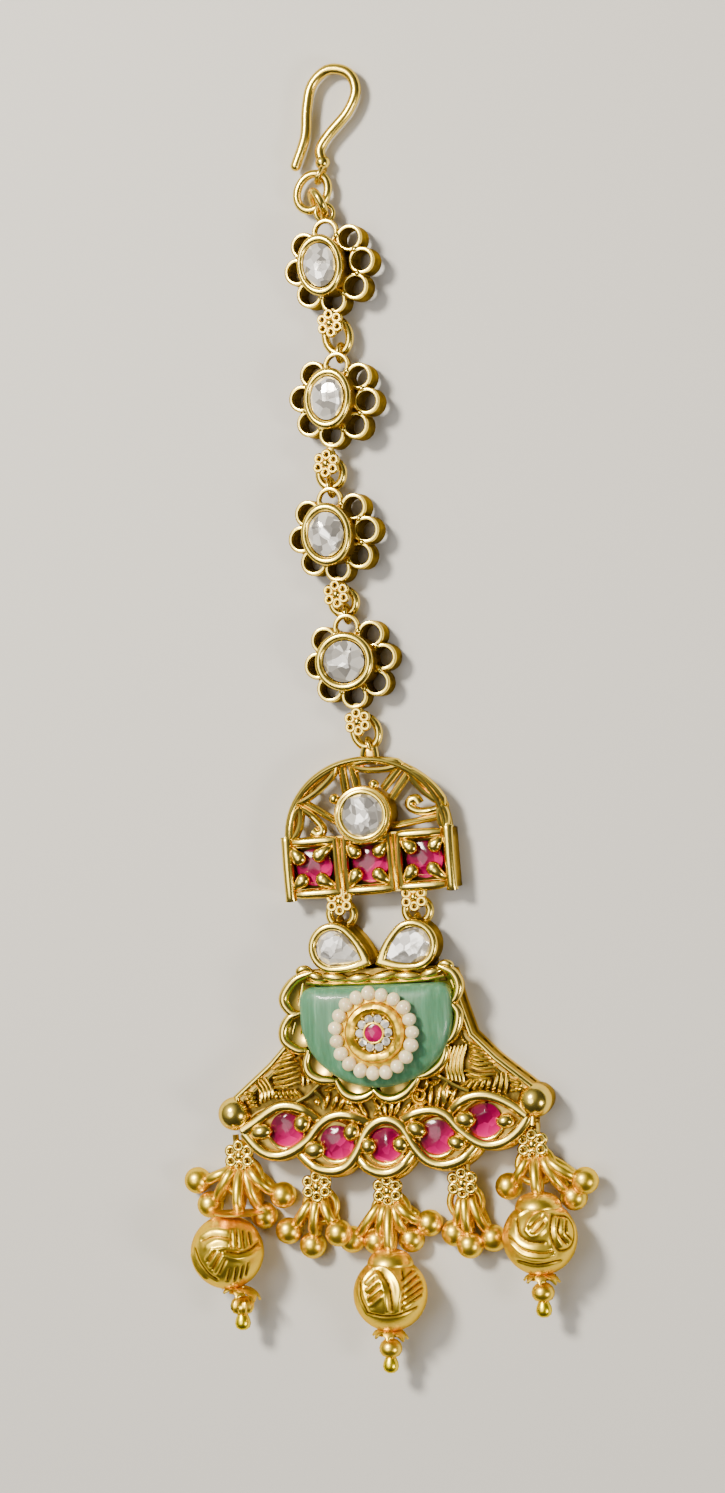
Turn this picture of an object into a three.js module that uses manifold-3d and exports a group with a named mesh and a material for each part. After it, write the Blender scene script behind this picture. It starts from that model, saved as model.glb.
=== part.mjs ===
// A forehead jewel in antique gold: a hair hook, four flower links, a pierced crest with a bar of rubies,
// and a fan pendant with a green stone, a ribbon border and sprays of gold balls and leaf beads.
// It lies on its back. Millimetres, +Z up, the chain along Y, x = 0 on the fan's centreline.
import * as THREE from 'three';
import { mergeVertices } from 'three/addons/utils/BufferGeometryUtils.js';
import Module from 'manifold-3d';

const wasm = await Module();
wasm.setup();

// ---------------------------------------------------------------- driving dimensions
const RING_WIRE = 0.8;          // jump rings
const EYE_WIRE = 0.6;           // small soldered eyes that the rings pass through
const EYE_RADIUS = 1.0;         // centreline radius of such an eye
const EYE_HEIGHT = 1.3;         // height of an eye's centre over the surface
const LINK_BREADTH = 2.9;       // centreline breadth of the oval link rings
const HOOK_WIRE = 1.0;

const PETALS = 8;
const PETAL_CENTRE = 3.95;      // petal centres lie on this radius
const PETAL_OUTER = 1.6;
const PETAL_HOLE = 1.0;
const PETAL_EDGE = PETAL_CENTRE + PETAL_OUTER;
const PETAL_TOP = 2.7;          // height of the petals' front edge
const PETAL_LIP = 2.0;          // the top petal is only a lip above this, with the link ring under it
const CUP_RADIUS = 3.1;         // raised cup round each flower's stone
const CUP_TOP = 4.9;
const STONE_RADIUS = 2.3;
const FLORET_RADIUS = 1.35;
const FLORET_BASE = 2.2;
const FLORET_THICK = 0.9;
const SEAT_GAP = 0.2;           // between a stone and its seat
const TABLE_SHARE = 0.62;       // a round stone's flat top, as a share of its radius

const CREST_DEPTH = 3.4;
const BAR_WIDTH = 20.1;
const BAR_HEIGHT = 6.8;
const ARCH_HALF = 9.7;
const ARCH_RISE = 8.95;
const RIM = 0.8;
const LACE_BASE = 1.9;          // the openwork lies between these heights
const LACE_TOP = 3.1;

const FAN_TOP = 4.0;
const FAN_WALL = 1.1;
const GREEN_HALF = 8.9;         // half-moon stone
const GREEN_TOP_Y = 15.6;
const GREEN_BOTTOM_Y = 3.9;
const GREEN_THICK = 2.7;
const COLLAR_TOP = 5.2;
const ROSETTE_Y = 10.2;
const PEARLS = 19;
const PEARL_CIRCLE = 4.55;
const PEARL_RADIUS = 0.75;
const BOSS_RADIUS = 3.3;
const CORNER_BALL = 1.9;

const BALL_RADIUS = 1.4;        // satin balls of the sprays
const STRAND_WIRE = 0.5;
const LEAF_RADIUS = 4.2;
const PIN_RADIUS = 0.45;

// ---------------------------------------------------------------- tables
// flower: centre, turn and lean in degrees, where its floret sits from the centre, and how far its
// top eye stands out past the petals, rises and tilts to meet its ring
const FLOWERS = [
  { x: -0.75, y: 98.17, turn: 5, lean: 6, floretX: -0.6, floretY: -6.55,
    eyeOut: 0.75, eyeRise: 0.5, eyeTilt: 60 },
  { x: -1.08, y: 82.75, turn: 5, lean: 6, floretX: -1.5, floretY: -7.0, eyeOut: 0, eyeRise: 0, eyeTilt: 0 },
  { x: -2.12, y: 67.37, turn: 5, lean: 5, floretX: -0.3, floretY: -6.75,
    eyeOut: 0, eyeRise: 0, eyeTilt: 0 },
  { x: -1.21, y: 52.69, turn: 4, lean: 2, floretX: 0.2, floretY: -6.9, eyeOut: 0, eyeRise: 0, eyeTilt: 0 },
];

// hook wire, from the blunt tip over the top and down to the knuckle
const HOOK_ROUTE = [
  { x: -4.7, y: 110.3 }, { x: -3.4, y: 113.5 }, { x: -3.0, y: 116.8 }, { x: -2.2, y: 119.5 },
  { x: -0.2, y: 121.0 }, { x: 2.1, y: 120.4 }, { x: 2.9, y: 118.3 }, { x: 1.8, y: 115.9 },
  { x: -0.6, y: 113.5 }, { x: -1.7, y: 111.9 }, { x: -1.5, y: 110.4 },
];

// straight wires of the crest's lace, in the crest's own frame with the bar's foot at y = 0
const LACE = [
  { name: 'leaf bar left', ax: -8.9, ay: 6.9, bx: -7.4, by: 11.6, wide: 0.9 },
  { name: 'leaf bar upper left', ax: -7.7, ay: 11.2, bx: -2.7, by: 14.7, wide: 1.0 },
  { name: 'leaf bar top', ax: -2.7, ay: 14.3, bx: 5.2, by: 14.0, wide: 1.0 },
  { name: 'leaf bar right', ax: 5.0, ay: 14.1, bx: 9.1, by: 9.8, wide: 1.1 },
  { name: 'strut left outer', ax: -2.7, ay: 14.6, bx: -2.0, by: 11.2, wide: 0.7 },
  { name: 'strut left inner', ax: -1.3, ay: 14.6, bx: -0.6, by: 11.6, wide: 0.7 },
  { name: 'strut right outer', ax: 5.5, ay: 13.9, bx: 2.6, by: 10.4, wide: 0.7 },
  { name: 'strut right inner', ax: 4.5, ay: 14.4, bx: 1.8, by: 11.4, wide: 0.7 },
  { name: 'left long wire', ax: -7.5, ay: 11.2, bx: -2.5, by: 8.2, wide: 0.7 },
  { name: 'left scroll stem', ax: -7.6, ay: 10.9, bx: -5.4, by: 8.4, wide: 0.7 },
  { name: 'left scroll end', ax: -5.4, ay: 8.5, bx: -6.1, by: 6.9, wide: 0.8 },
  { name: 'right scroll stem', ax: 9.3, ay: 9.7, bx: 6.2, by: 9.0, wide: 0.7 },
  { name: 'right scroll end', ax: 6.3, ay: 8.9, bx: 5.2, by: 10.3, wide: 0.8 },
  { name: 'right long wire', ax: 9.4, ay: 9.2, bx: 2.6, by: 7.4, wide: 0.7 },
];
const CREST_RUBIES = [{ x: -6.75, y: 3.6 }, { x: -0.1, y: 3.5 }, { x: 6.55, y: 3.5 }];
const CREST_FLORETS = [{ x: -4.15, y: 25.2 }, { x: 4.67, y: 25.3 }];

// eye-shaped cells of the ribbon border, from left to right
const CELLS = [
  { x: -12.8, y: -0.8, half: 4.5, rise: 3.1, turn: -8, rubyX: -12.0, rubyY: -0.6 },
  { x: -6.1, y: -2.5, half: 3.7, rise: 3.3, turn: -10, rubyX: -6.0, rubyY: -2.4 },
  { x: 0, y: -3.1, half: 3.5, rise: 3.3, turn: 0, rubyX: 0, rubyY: -2.9 },
  { x: 6.1, y: -2.5, half: 3.7, rise: 3.3, turn: 10, rubyX: 6.0, rubyY: -2.4 },
  { x: 12.8, y: -0.8, half: 4.5, rise: 3.1, turn: 8, rubyX: 12.0, rubyY: -0.6 },
];

// scallops of the collar round the green stone, right half, mirrored to the left
const SCALLOPS = [
  { x: 8.7, y: 14.6, radius: 2.0 }, { x: 8.7, y: 11.0, radius: 2.1 },
  { x: 7.2, y: 7.0, radius: 2.2 }, { x: 3.6, y: 4.2, radius: 2.3 },
];

// raised ribs of the wings in basket weave, right half, mirrored to the left
const RIBS = [
  { x: 11.6, y: 6.6, long: 3.4, turn: 80 }, { x: 13.0, y: 4.2, long: 2.6, turn: 10 },
  { x: 15.0, y: 3.6, long: 2.2, turn: 75 },
];

// sprays: floret place, ring radius, height of the ring's lower end, balls, and a leaf bead if it has one
const SPRAYS = [
  { x: -17.68, y: -3.15, ring: 2.1, low: 2.1, leaf: { x: -19.6, y: -14.3, turn: 6 },
    balls: [[-23.6, -5.9, 1.4], [-22.2, -8.7, 1.4], [-15.6, -10.2, 1.4], [-13.3, -7.9, 1.4]] },
  { x: -8.78, y: -7.55, ring: 1.85, low: 1.6, leaf: null,
    balls: [[-13.0, -12.1, 1.4], [-10.2, -14.2, 1.4], [-6.7, -12.9, 3.5]] },
  { x: -0.4, y: -8.2, ring: 2.0, low: 2.1, leaf: { x: -0.45, y: -19.8, turn: -3 },
    balls: [[-5.25, -13.9, 1.4], [-2.35, -14.15, 1.4], [1.75, -14.0, 1.4], [4.0, -12.2, 1.4]] },
  { x: 8.4, y: -7.55, ring: 1.85, low: 1.6, leaf: null,
    balls: [[6.6, -13.6, 1.4], [9.0, -15.2, 1.4], [11.7, -14.0, 1.4]] },
  { x: 17.3, y: -3.15, ring: 2.0, low: 2.1, leaf: { x: 17.3, y: -13.7, turn: 0 },
    balls: [[13.5, -8.2, 1.4], [21.0, -9.6, 1.4], [22.6, -7.6, 2.8]] },
];

// ---------------------------------------------------------------- materials
const metal = (color, roughness) => new THREE.MeshStandardMaterial({ color, roughness, metalness: 1 });
const mineral = (color, roughness) => new THREE.MeshStandardMaterial({ color, roughness, metalness: 0 });
const ANTIQUE_GOLD = metal(0xc9a24a, 0.32);
const SATIN_GOLD = metal(0xd49a3a, 0.45);
const RUBY = mineral(0xb4144a, 0.12);
const POLKI = mineral(0xdcdcda, 0.18);
const GREEN = mineral(0x6fa088, 0.15);
const PEARL = mineral(0xebe1cd, 0.3);

// ---------------------------------------------------------------- solids
const v = (x, y, z = 0) => new THREE.Vector3(x, y, z);
const rad = THREE.MathUtils.degToRad;

function solidOf(geometry) {
  const bare = geometry.clone();
  bare.deleteAttribute('normal');
  bare.deleteAttribute('uv');
  const merged = mergeVertices(bare, 1e-4);
  const corners = merged.index.array;
  const kept = [];
  for (let i = 0; i < corners.length; i += 3) {
    const [a, b, c] = [corners[i], corners[i + 1], corners[i + 2]];
    if (a !== b && b !== c && c !== a) kept.push(a, b, c);
  }
  return new wasm.Manifold(new wasm.Mesh({
    numProp: 3,
    vertProperties: merged.attributes.position.array,
    triVerts: new Uint32Array(kept),
  }));
}

function geometryOf(solid) {
  const mesh = solid.getMesh();
  const geometry = new THREE.BufferGeometry();
  geometry.setAttribute('position', new THREE.BufferAttribute(mesh.vertProperties, 3));
  geometry.setIndex(new THREE.BufferAttribute(mesh.triVerts, 1));
  geometry.computeVertexNormals();
  return geometry;
}

const join = (parts) => geometryOf(parts.map(solidOf).reduce((whole, part) => whole.add(part)));
const cut = (body, tools) =>
  geometryOf(tools.map(solidOf).reduce((left, tool) => left.subtract(tool), solidOf(body)));

// moves a geometry to x, y, z after turning it about Z by degrees
const put = (geometry, x, y, z = 0, turn = 0) => geometry.rotateZ(rad(turn)).translate(x, y, z);

function disc(radius, low, high, sides) {
  const upright = new THREE.CylinderGeometry(radius, radius, high - low, sides);
  return upright.rotateX(Math.PI / 2).translate(0, 0, (low + high) / 2);
}

function plate(shape, low, high, curveSegments = 6) {
  const settings = { depth: high - low, bevelEnabled: false, curveSegments };
  return new THREE.ExtrudeGeometry(shape, settings).translate(0, 0, low);
}

const block = (x0, x1, y0, y1, z0, z1) =>
  new THREE.BoxGeometry(x1 - x0, y1 - y0, z1 - z0).translate((x0 + x1) / 2, (y0 + y1) / 2, (z0 + z1) / 2);

// a straight flat wire from a to b
function strip(a, b, wide, low, high) {
  const run = b.clone().sub(a);
  const bar = block(0, run.length(), -wide / 2, wide / 2, low, high);
  return put(bar, a.x, a.y, 0, THREE.MathUtils.radToDeg(Math.atan2(run.y, run.x)));
}

// a closed wire ring in the XY plane with half-axes a and b
function ovalRing(a, b, wire) {
  const ring = new THREE.TorusGeometry(a, wire / 2, 4, 10);
  const place = ring.attributes.position;
  for (let i = 0; i < place.count; i += 1) {
    const angle = Math.atan2(place.getY(i), place.getX(i));
    place.setY(i, place.getY(i) + (b - a) * Math.sin(angle));
  }
  return ring;
}

// a closed link in the XY plane with straight sides and round ends
function slimLink(halfLength, halfBreadth, wire) {
  const link = new THREE.TorusGeometry(halfBreadth, wire / 2, 3, 8);
  const place = link.attributes.position;
  for (let i = 0; i < place.count; i += 1) {
    place.setX(i, place.getX(i) + Math.sign(place.getX(i)) * (halfLength - halfBreadth));
  }
  return link;
}

// turns a geometry so that its X, Y and Z lie along the given directions, and moves it to origin
function orient(geometry, origin, alongX, alongY) {
  const alongZ = alongX.clone().cross(alongY).normalize();
  return geometry.applyMatrix4(new THREE.Matrix4().makeBasis(alongX, alongY, alongZ).setPosition(origin));
}

// an oval ring whose wire passes through the points from and to, tilted about the line between them
function ringBetween(from, to, breadth, wire, tilt = 0) {
  const along = to.clone().sub(from).normalize();
  const across = v(-along.y, along.x).normalize().applyAxisAngle(along, rad(tilt));
  const middle = from.clone().add(to).multiplyScalar(0.5);
  const ring = ovalRing(from.distanceTo(to) / 2, breadth / 2, wire);
  return orient(ring, middle, along, across);
}

// a small standing eye round the point: its hole faces X, turned about Z and tilted up by degrees
function eye(point, turn = 0, tilt = 0) {
  const ring = new THREE.TorusGeometry(EYE_RADIUS, EYE_WIRE / 2, 3, 7);
  return put(ring.rotateY(Math.PI / 2 - rad(tilt)), point.x, point.y, point.z, turn);
}

const jewel = new THREE.Group();

function add(name, geometry, material) {
  const mesh = new THREE.Mesh(geometry, material);
  mesh.name = name;
  jewel.add(mesh);
  return mesh;
}

// a faceted stone: a low brilliant of the given outline radius, with its girdle at z = 0
function stone(radius, height, sides) {
  const profile = [[0, 0], [radius, 0], [radius * TABLE_SHARE, height], [0, height]];
  const corners = profile.map(([r, z]) => new THREE.Vector2(r, z));
  return new THREE.LatheGeometry(corners, sides).rotateX(Math.PI / 2);
}

// the six-sided floret that covers each eye
function floret(x, y) {
  return disc(FLORET_RADIUS, FLORET_BASE, FLORET_BASE + FLORET_THICK, 6).translate(x, y, 0);
}

// ---------------------------------------------------------------- flower links
// evenly spaced points along an arc, the last one left out
function arcPoints(x, y, radius, from, to, count) {
  return Array.from({ length: count }, (_, i) => {
    const angle = from + ((to - from) * i) / count;
    return new THREE.Vector2(x + radius * Math.cos(angle), y + radius * Math.sin(angle));
  });
}

// a scalloped plate of ring petals: each petal's arc runs from valley to valley
function petalPlate() {
  const half = Math.PI / PETALS;
  const aside = PETAL_CENTRE * Math.sin(half);
  const valley = PETAL_CENTRE * Math.cos(half) + Math.sqrt(PETAL_OUTER ** 2 - aside ** 2);
  const open = Math.atan2(valley * Math.sin(half), valley * Math.cos(half) - PETAL_CENTRE);
  const points = [];
  const holes = [];
  for (let i = 0; i < PETALS; i += 1) {
    const angle = Math.PI / 2 + i * 2 * half;
    const x = PETAL_CENTRE * Math.cos(angle);
    const y = PETAL_CENTRE * Math.sin(angle);
    arcPoints(x, y, PETAL_OUTER, angle - open, angle + open, 4).forEach((p) => points.push(p));
    holes.push(new THREE.Path(arcPoints(x, y, PETAL_HOLE, angle, angle + Math.PI * 2, 6)));
  }
  const outline = new THREE.Shape(points);
  outline.holes = holes;
  return plate(outline, 0, PETAL_TOP);
}

// places a point of a flower's own frame in the jewel: it leans about its left edge, then turns
function flowerMatrix(flower) {
  return new THREE.Matrix4().makeTranslation(flower.x, flower.y, 0)
    .multiply(new THREE.Matrix4().makeRotationZ(rad(flower.turn)))
    .multiply(new THREE.Matrix4().makeTranslation(-PETAL_EDGE, 0, 0))
    .multiply(new THREE.Matrix4().makeRotationY(-rad(flower.lean)))
    .multiply(new THREE.Matrix4().makeTranslation(PETAL_EDGE, 0, 0));
}

const topEyeIn = (flower) => v(0, PETAL_EDGE + flower.eyeOut, EYE_HEIGHT + flower.eyeRise);
const bottomEyeIn = (flower) => v(flower.floretX, flower.floretY + 0.5, EYE_HEIGHT);
const topEye = (flower) => topEyeIn(flower).applyMatrix4(flowerMatrix(flower));
const bottomEye = (flower) => bottomEyeIn(flower).applyMatrix4(flowerMatrix(flower));

function flowerLink(flower) {
  const under = block(-1.9, 1.9, PETAL_EDGE - 1.1, PETAL_EDGE + 1, -1, PETAL_LIP);
  const petals = cut(petalPlate(), [under]);
  const seat = disc(STONE_RADIUS + SEAT_GAP, CUP_TOP - 0.9, CUP_TOP + 1, 10);
  const cup = cut(disc(CUP_RADIUS, PETAL_LIP, CUP_TOP, 10), [seat]);
  const strutEnd = v(flower.floretX, flower.floretY);
  const strut = strip(v(flower.floretX * 0.5, 0.8 - PETAL_EDGE), strutEnd, 1.1, 1.9, FLORET_BASE + 0.4);
  const whole = join([
    petals, cup, strut,
    floret(flower.floretX, flower.floretY),
    eye(topEyeIn(flower), 0, flower.eyeTilt),
    eye(bottomEyeIn(flower)),
  ]);
  return whole.applyMatrix4(flowerMatrix(flower));
}

FLOWERS.forEach((flower, i) => {
  add(`flower_${i + 1}`, flowerLink(flower), ANTIQUE_GOLD);
  const gem = stone(STONE_RADIUS, 0.7, 10).translate(0, 0, CUP_TOP - 0.45);
  add(`flower_stone_${i + 1}`, gem.applyMatrix4(flowerMatrix(flower)), POLKI);
});

// ---------------------------------------------------------------- hook and its two rings
const HOOK_HEIGHT = 1.6;
const HOOK_EYE = v(-1.8, 109.0, HOOK_HEIGHT);
const HOOK_EYE_TURN = -28;
const UPPER_RING_END = v(-4.0, 105.2, HOOK_HEIGHT);
const LOWER_RING_START = v(-3.0, 106.8, 1.6);
const LOWER_RING_TILT = 66;
const UPPER_RING_BREADTH = 3.5;
const LOWER_RING_BREADTH = 3.2;

function hook() {
  const route = new THREE.CatmullRomCurve3(HOOK_ROUTE.map((p) => v(p.x, p.y, HOOK_HEIGHT)));
  const section = new THREE.Shape().absarc(0, 0, HOOK_WIRE / 2, 0, Math.PI * 2, false);
  const wire = new THREE.ExtrudeGeometry(section, { extrudePath: route, steps: 18, curveSegments: 3 });
  const last = HOOK_ROUTE[HOOK_ROUTE.length - 1];
  const knuckle = new THREE.SphereGeometry(0.75, 6, 4).translate(last.x, last.y, HOOK_HEIGHT);
  return join([wire, knuckle, eye(HOOK_EYE, HOOK_EYE_TURN)]);
}

add('hook', hook(), ANTIQUE_GOLD);
const upperRing = ringBetween(HOOK_EYE, UPPER_RING_END, UPPER_RING_BREADTH, RING_WIRE);
add('hook_ring_upper', upperRing, ANTIQUE_GOLD);
const lowerRing = ringBetween(
  LOWER_RING_START, topEye(FLOWERS[0]), LOWER_RING_BREADTH, RING_WIRE, LOWER_RING_TILT);
add('hook_ring_lower', lowerRing, ANTIQUE_GOLD);

// ---------------------------------------------------------------- crest
const CREST_X = -0.3;
const CREST_Y = 26.0;
const CREST_TURN = 1.5;
const BAIL = v(0.25, 42.8, EYE_HEIGHT);
const BEZEL = { x: 0, y: 9.0, radius: 3.4, top: 4.6, stone: 2.4 };
const CELL_HALF = 2.55;

const inCrest = (geometry) => put(geometry, CREST_X, CREST_Y, 0, CREST_TURN);

function archShape(inset) {
  const shape = new THREE.Shape();
  shape.moveTo(ARCH_HALF - inset, inset);
  shape.lineTo(ARCH_HALF - inset, BAR_HEIGHT);
  shape.absellipse(0, BAR_HEIGHT, ARCH_HALF - inset, ARCH_RISE - inset, 0, Math.PI, false, 0);
  shape.lineTo(inset - ARCH_HALF, inset);
  return shape;
}

function crest() {
  const rim = cut(plate(archShape(0), 0, CREST_DEPTH, 8), [plate(archShape(RIM), -1, CREST_DEPTH + 1, 8)]);
  const lace = LACE.map((w) => strip(v(w.ax, w.ay), v(w.bx, w.by), w.wide, LACE_BASE, LACE_TOP));
  const bar = block(-BAR_WIDTH / 2, BAR_WIDTH / 2, 0, BAR_HEIGHT, 0, CREST_DEPTH + 0.2);
  const cells = CREST_RUBIES.map((r) =>
    block(r.x - CELL_HALF, r.x + CELL_HALF, 0.9, BAR_HEIGHT - 0.9, CREST_DEPTH - 1.6, CREST_DEPTH + 1));
  const hollow = block(-BAR_WIDTH / 2 + 0.9, BAR_WIDTH / 2 - 0.9, 0.9, BAR_HEIGHT - 0.9, -1, 0.9);
  const cup = disc(BEZEL.radius, 0.6, BEZEL.top, 14).translate(BEZEL.x, BEZEL.y, 0);
  const seat = disc(BEZEL.stone + SEAT_GAP, BEZEL.top - 0.9, BEZEL.top + 1, 14);
  seat.translate(BEZEL.x, BEZEL.y, 0);
  const body = cut(join([rim, ...lace, cut(bar, [...cells, hollow]), cup]), [seat]);
  const hangers = CREST_FLORETS.flatMap((f) => [
    floret(f.x, f.y),
    block(f.x - 0.7, f.x + 0.7, f.y, CREST_Y + 0.6, 1.9, FLORET_BASE + 0.5),
    eye(v(f.x, f.y - 0.2, EYE_HEIGHT)),
  ]);
  const archTop = CREST_Y + BAR_HEIGHT + ARCH_RISE;
  const tab = block(BAIL.x - 1.3, BAIL.x + 1.3, archTop - 0.7, BAIL.y + 0.3, 2.0, 2.7);
  return join([inCrest(body), ...hangers, tab, eye(BAIL, 20)]);
}

add('crest', crest(), ANTIQUE_GOLD);
const crestStone = stone(BEZEL.stone, 0.7, 10).translate(BEZEL.x, BEZEL.y, BEZEL.top - 0.45);
add('crest_stone', inCrest(crestStone), POLKI);
CREST_RUBIES.forEach((r, i) => {
  const ruby = stone(2.05, 0.9, 8).translate(r.x, r.y, CREST_DEPTH - 1.2);
  add(`crest_ruby_${i + 1}`, inCrest(ruby), RUBY);
});

const linkEnds = [...FLOWERS.slice(1).map(topEye), BAIL];
FLOWERS.forEach((flower, i) => {
  const ring = ringBetween(bottomEye(flower), linkEnds[i], LINK_BREADTH, RING_WIRE, flower.lean);
  add(`link_ring_${i + 1}`, ring, ANTIQUE_GOLD);
});

// ---------------------------------------------------------------- fan
// right half of the fan's outline, from the rail under the pears to the middle of the border
const FAN_EDGE = [
  v(8.8, 16.9), v(9.7, 13.2), v(10.8, 9.6), v(13.4, 6.9),
  v(17.8, 3.3), v(17.2, -1.2), v(9.3, -3.4), v(3.1, -5.0),
];
// open slots in the side wall, between two points of FAN_EDGE
const SLOT_RUNS = [{ from: 2, to: 3, count: 1 }, { from: 3, to: 4, count: 3 }];
const CORNER = { x: 17.6, y: 1.6 };
const PEAR = { x: 4.7, y: 20.0, radius: 2.9, tipX: 0.4, tipY: 17.6, top: 5.4, stone: 2.1 };
const FAN_EYE = { x: 4.6, y: 22.3 };
const BORDER_TOP = 4.5;
const CELL_FLOOR = 3.1;
const CELL_RIM = 0.8;
const BACK_DEPTH = 2.6;

// moves every corner of a closed outline inwards by the distance
function insetOutline(points, distance) {
  return points.map((point, i) => {
    const before = points[(i + points.length - 1) % points.length];
    const after = points[(i + 1) % points.length];
    const a = point.clone().sub(before).normalize();
    const b = after.clone().sub(point).normalize();
    const inward = v(a.y + b.y, -(a.x + b.x)).normalize();
    return point.clone().addScaledVector(inward, distance / inward.dot(v(a.y, -a.x)));
  });
}

function greenShape(inset) {
  const half = GREEN_HALF - inset;
  const corner = 1.4;
  const sideTop = 12;
  const top = GREEN_TOP_Y - inset;
  const shape = new THREE.Shape();
  shape.moveTo(half, sideTop);
  shape.lineTo(half, top - corner);
  shape.lineTo(half - corner, top);
  shape.lineTo(corner - half, top);
  shape.lineTo(-half, top - corner);
  shape.lineTo(-half, sideTop);
  shape.absellipse(0, sideTop, half, sideTop - GREEN_BOTTOM_Y - inset, Math.PI, Math.PI * 2, false, 0);
  return shape;
}

// a pear outline with its round end at the origin and its tip at distance reach along -X
function pearShape(radius, reach) {
  const open = Math.acos(radius / reach);
  const shape = new THREE.Shape();
  shape.moveTo(-reach, 0);
  shape.absarc(0, 0, radius, Math.PI + open, Math.PI * 3 - open, false);
  return shape;
}

const pearReach = Math.hypot(PEAR.x - PEAR.tipX, PEAR.y - PEAR.tipY);
const pearTurn = THREE.MathUtils.radToDeg(Math.atan2(PEAR.y - PEAR.tipY, PEAR.x - PEAR.tipX));

// puts a pear-shaped geometry on the left (-1) or right (1) side
function onPear(geometry, side) {
  return put(geometry, side * PEAR.x, PEAR.y, 0, side > 0 ? pearTurn : 180 - pearTurn);
}

function edgeSlots(side) {
  const slots = [];
  SLOT_RUNS.forEach(({ from, to, count }) => {
    const run = FAN_EDGE[to].clone().sub(FAN_EDGE[from]);
    const turn = THREE.MathUtils.radToDeg(Math.atan2(run.y, side * run.x));
    for (let i = 0; i < count; i += 1) {
      const middle = FAN_EDGE[from].clone().addScaledVector(run, (i + 0.5) / count);
      slots.push(put(block(-0.55, 0.55, -2, 2, 1.0, 2.2), side * middle.x, middle.y, 0, turn));
    }
  });
  return slots;
}

function fanBody() {
  const left = FAN_EDGE.map((p) => v(-p.x, p.y)).reverse();
  const outline = [...FAN_EDGE, ...left];
  const base = plate(new THREE.Shape(outline), 0, FAN_TOP);
  const cells = CELLS.flatMap((c) => {
    const shape = new THREE.Shape().absellipse(0, 0, c.half, c.rise, 0, Math.PI * 2, false, 0);
    return [put(plate(shape, 0, BORDER_TOP, 5), c.x, c.y, 0, c.turn)];
  });
  const cellFloors = CELLS.map((c) => {
    const shape = new THREE.Shape();
    shape.absellipse(0, 0, c.half - CELL_RIM, c.rise - CELL_RIM, 0, Math.PI * 2, false, 0);
    return put(plate(shape, CELL_FLOOR, BORDER_TOP + 1, 5), c.x, c.y, 0, c.turn);
  });
  const collar = SCALLOPS.flatMap((s) =>
    [-1, 1].map((side) => put(disc(s.radius, 2, COLLAR_TOP, 8), side * s.x, s.y)));
  const rail = block(-8.9, 8.9, 15.4, 17.6, 2, COLLAR_TOP);
  const greenSeat = plate(greenShape(-SEAT_GAP), FAN_TOP, COLLAR_TOP + 1, 8);
  const back = plate(new THREE.Shape(insetOutline(outline, FAN_WALL)), -1, BACK_DEPTH);
  const slots = [-1, 1].flatMap(edgeSlots);
  return cut(join([base, ...collar, rail, ...cells]), [greenSeat, back, ...cellFloors, ...slots]);
}

function pearCup(side) {
  const cup = plate(pearShape(PEAR.radius, pearReach), 0, PEAR.top, 7);
  const seat = plate(pearShape(PEAR.stone + SEAT_GAP, pearReach - 1.6), PEAR.top - 0.9, PEAR.top + 1, 7);
  const under = block(-1.9, 1.9, FAN_EYE.y - 1.2, FAN_EYE.y + 2, -1, PETAL_LIP);
  under.translate(side * FAN_EYE.x, 0, 0);
  return cut(cut(onPear(cup, side), [onPear(seat, side)]), [under]);
}

function fan() {
  const sides = [-1, 1].flatMap((side) => [
    pearCup(side),
    eye(v(side * FAN_EYE.x, FAN_EYE.y, EYE_HEIGHT)),
    new THREE.SphereGeometry(CORNER_BALL, 8, 4).translate(side * CORNER.x, CORNER.y, FAN_TOP - 0.9),
    ...RIBS.map((r) => put(block(-r.long / 2, r.long / 2, -0.25, 0.25, FAN_TOP - 0.5, FAN_TOP + 0.35),
      side * r.x, r.y, 0, side * r.turn)),
  ]);
  const beads = CELLS.flatMap((c) => [-1, 1].map((side) => {
    const bead = new THREE.SphereGeometry(1, 5, 2).scale(0.65, 0.8, 0.9);
    return put(bead, c.rubyX + side * 2.5, c.rubyY + side * Math.tan(rad(c.turn)) * 2, CELL_FLOOR + 0.3);
  }));
  const hangers = SPRAYS.flatMap((spray) => [
    floret(spray.x, spray.y),
    block(spray.x - 0.8, spray.x + 0.8, spray.y, spray.y + 2.6, 1.0, FLORET_BASE + 0.5),
    eye(sprayEye(spray)),
  ]);
  return join([fanBody(), ...sides, ...beads, ...hangers]);
}

// ---------------------------------------------------------------- sprays
const SPRAY_WIRE = 0.8;
const SPRAY_HEIGHT = 1.6;
const sprayEye = (spray) => v(spray.x, spray.y - 0.5, SPRAY_HEIGHT);
const LOOP_CLEAR = SPRAY_WIRE / 2 + STRAND_WIRE / 2 + 0.2;
const LOOP_HALF = 1.15;         // half height of a strand's loop
const LOOP_STAGGER = 0.2;       // neighbouring loops sit higher and lower by this

// the point of the spray's ring that faces the target, and the outward direction there
function hangPoint(spray, target) {
  const start = sprayEye(spray);
  const end = v(spray.x, start.y - 2 * spray.ring, spray.low);
  const centre = start.clone().add(end).multiplyScalar(0.5);
  const along = end.clone().sub(start).normalize();
  const towards = target.clone().sub(centre);
  const angle = Math.atan2(towards.x, -towards.y);
  const radius = start.distanceTo(end) / 2;
  return centre.addScaledVector(along, radius * Math.cos(angle)).add(v(radius * Math.sin(angle), 0));
}

// a standing loop round the spray's ring, reaching to the target
function hangLoop(spray, target, stagger) {
  const wire = hangPoint(spray, target);
  const along = target.clone().sub(wire).normalize();
  const inner = wire.clone().addScaledVector(along, -LOOP_CLEAR).add(v(0, 0, stagger));
  const reach = target.clone().sub(inner).normalize();
  const across = v(0, 0, 1).addScaledVector(reach, -reach.z).normalize();
  const loop = slimLink(inner.distanceTo(target) / 2, LOOP_HALF, STRAND_WIRE);
  return orient(loop, inner.clone().add(target).multiplyScalar(0.5), reach, across);
}

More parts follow.
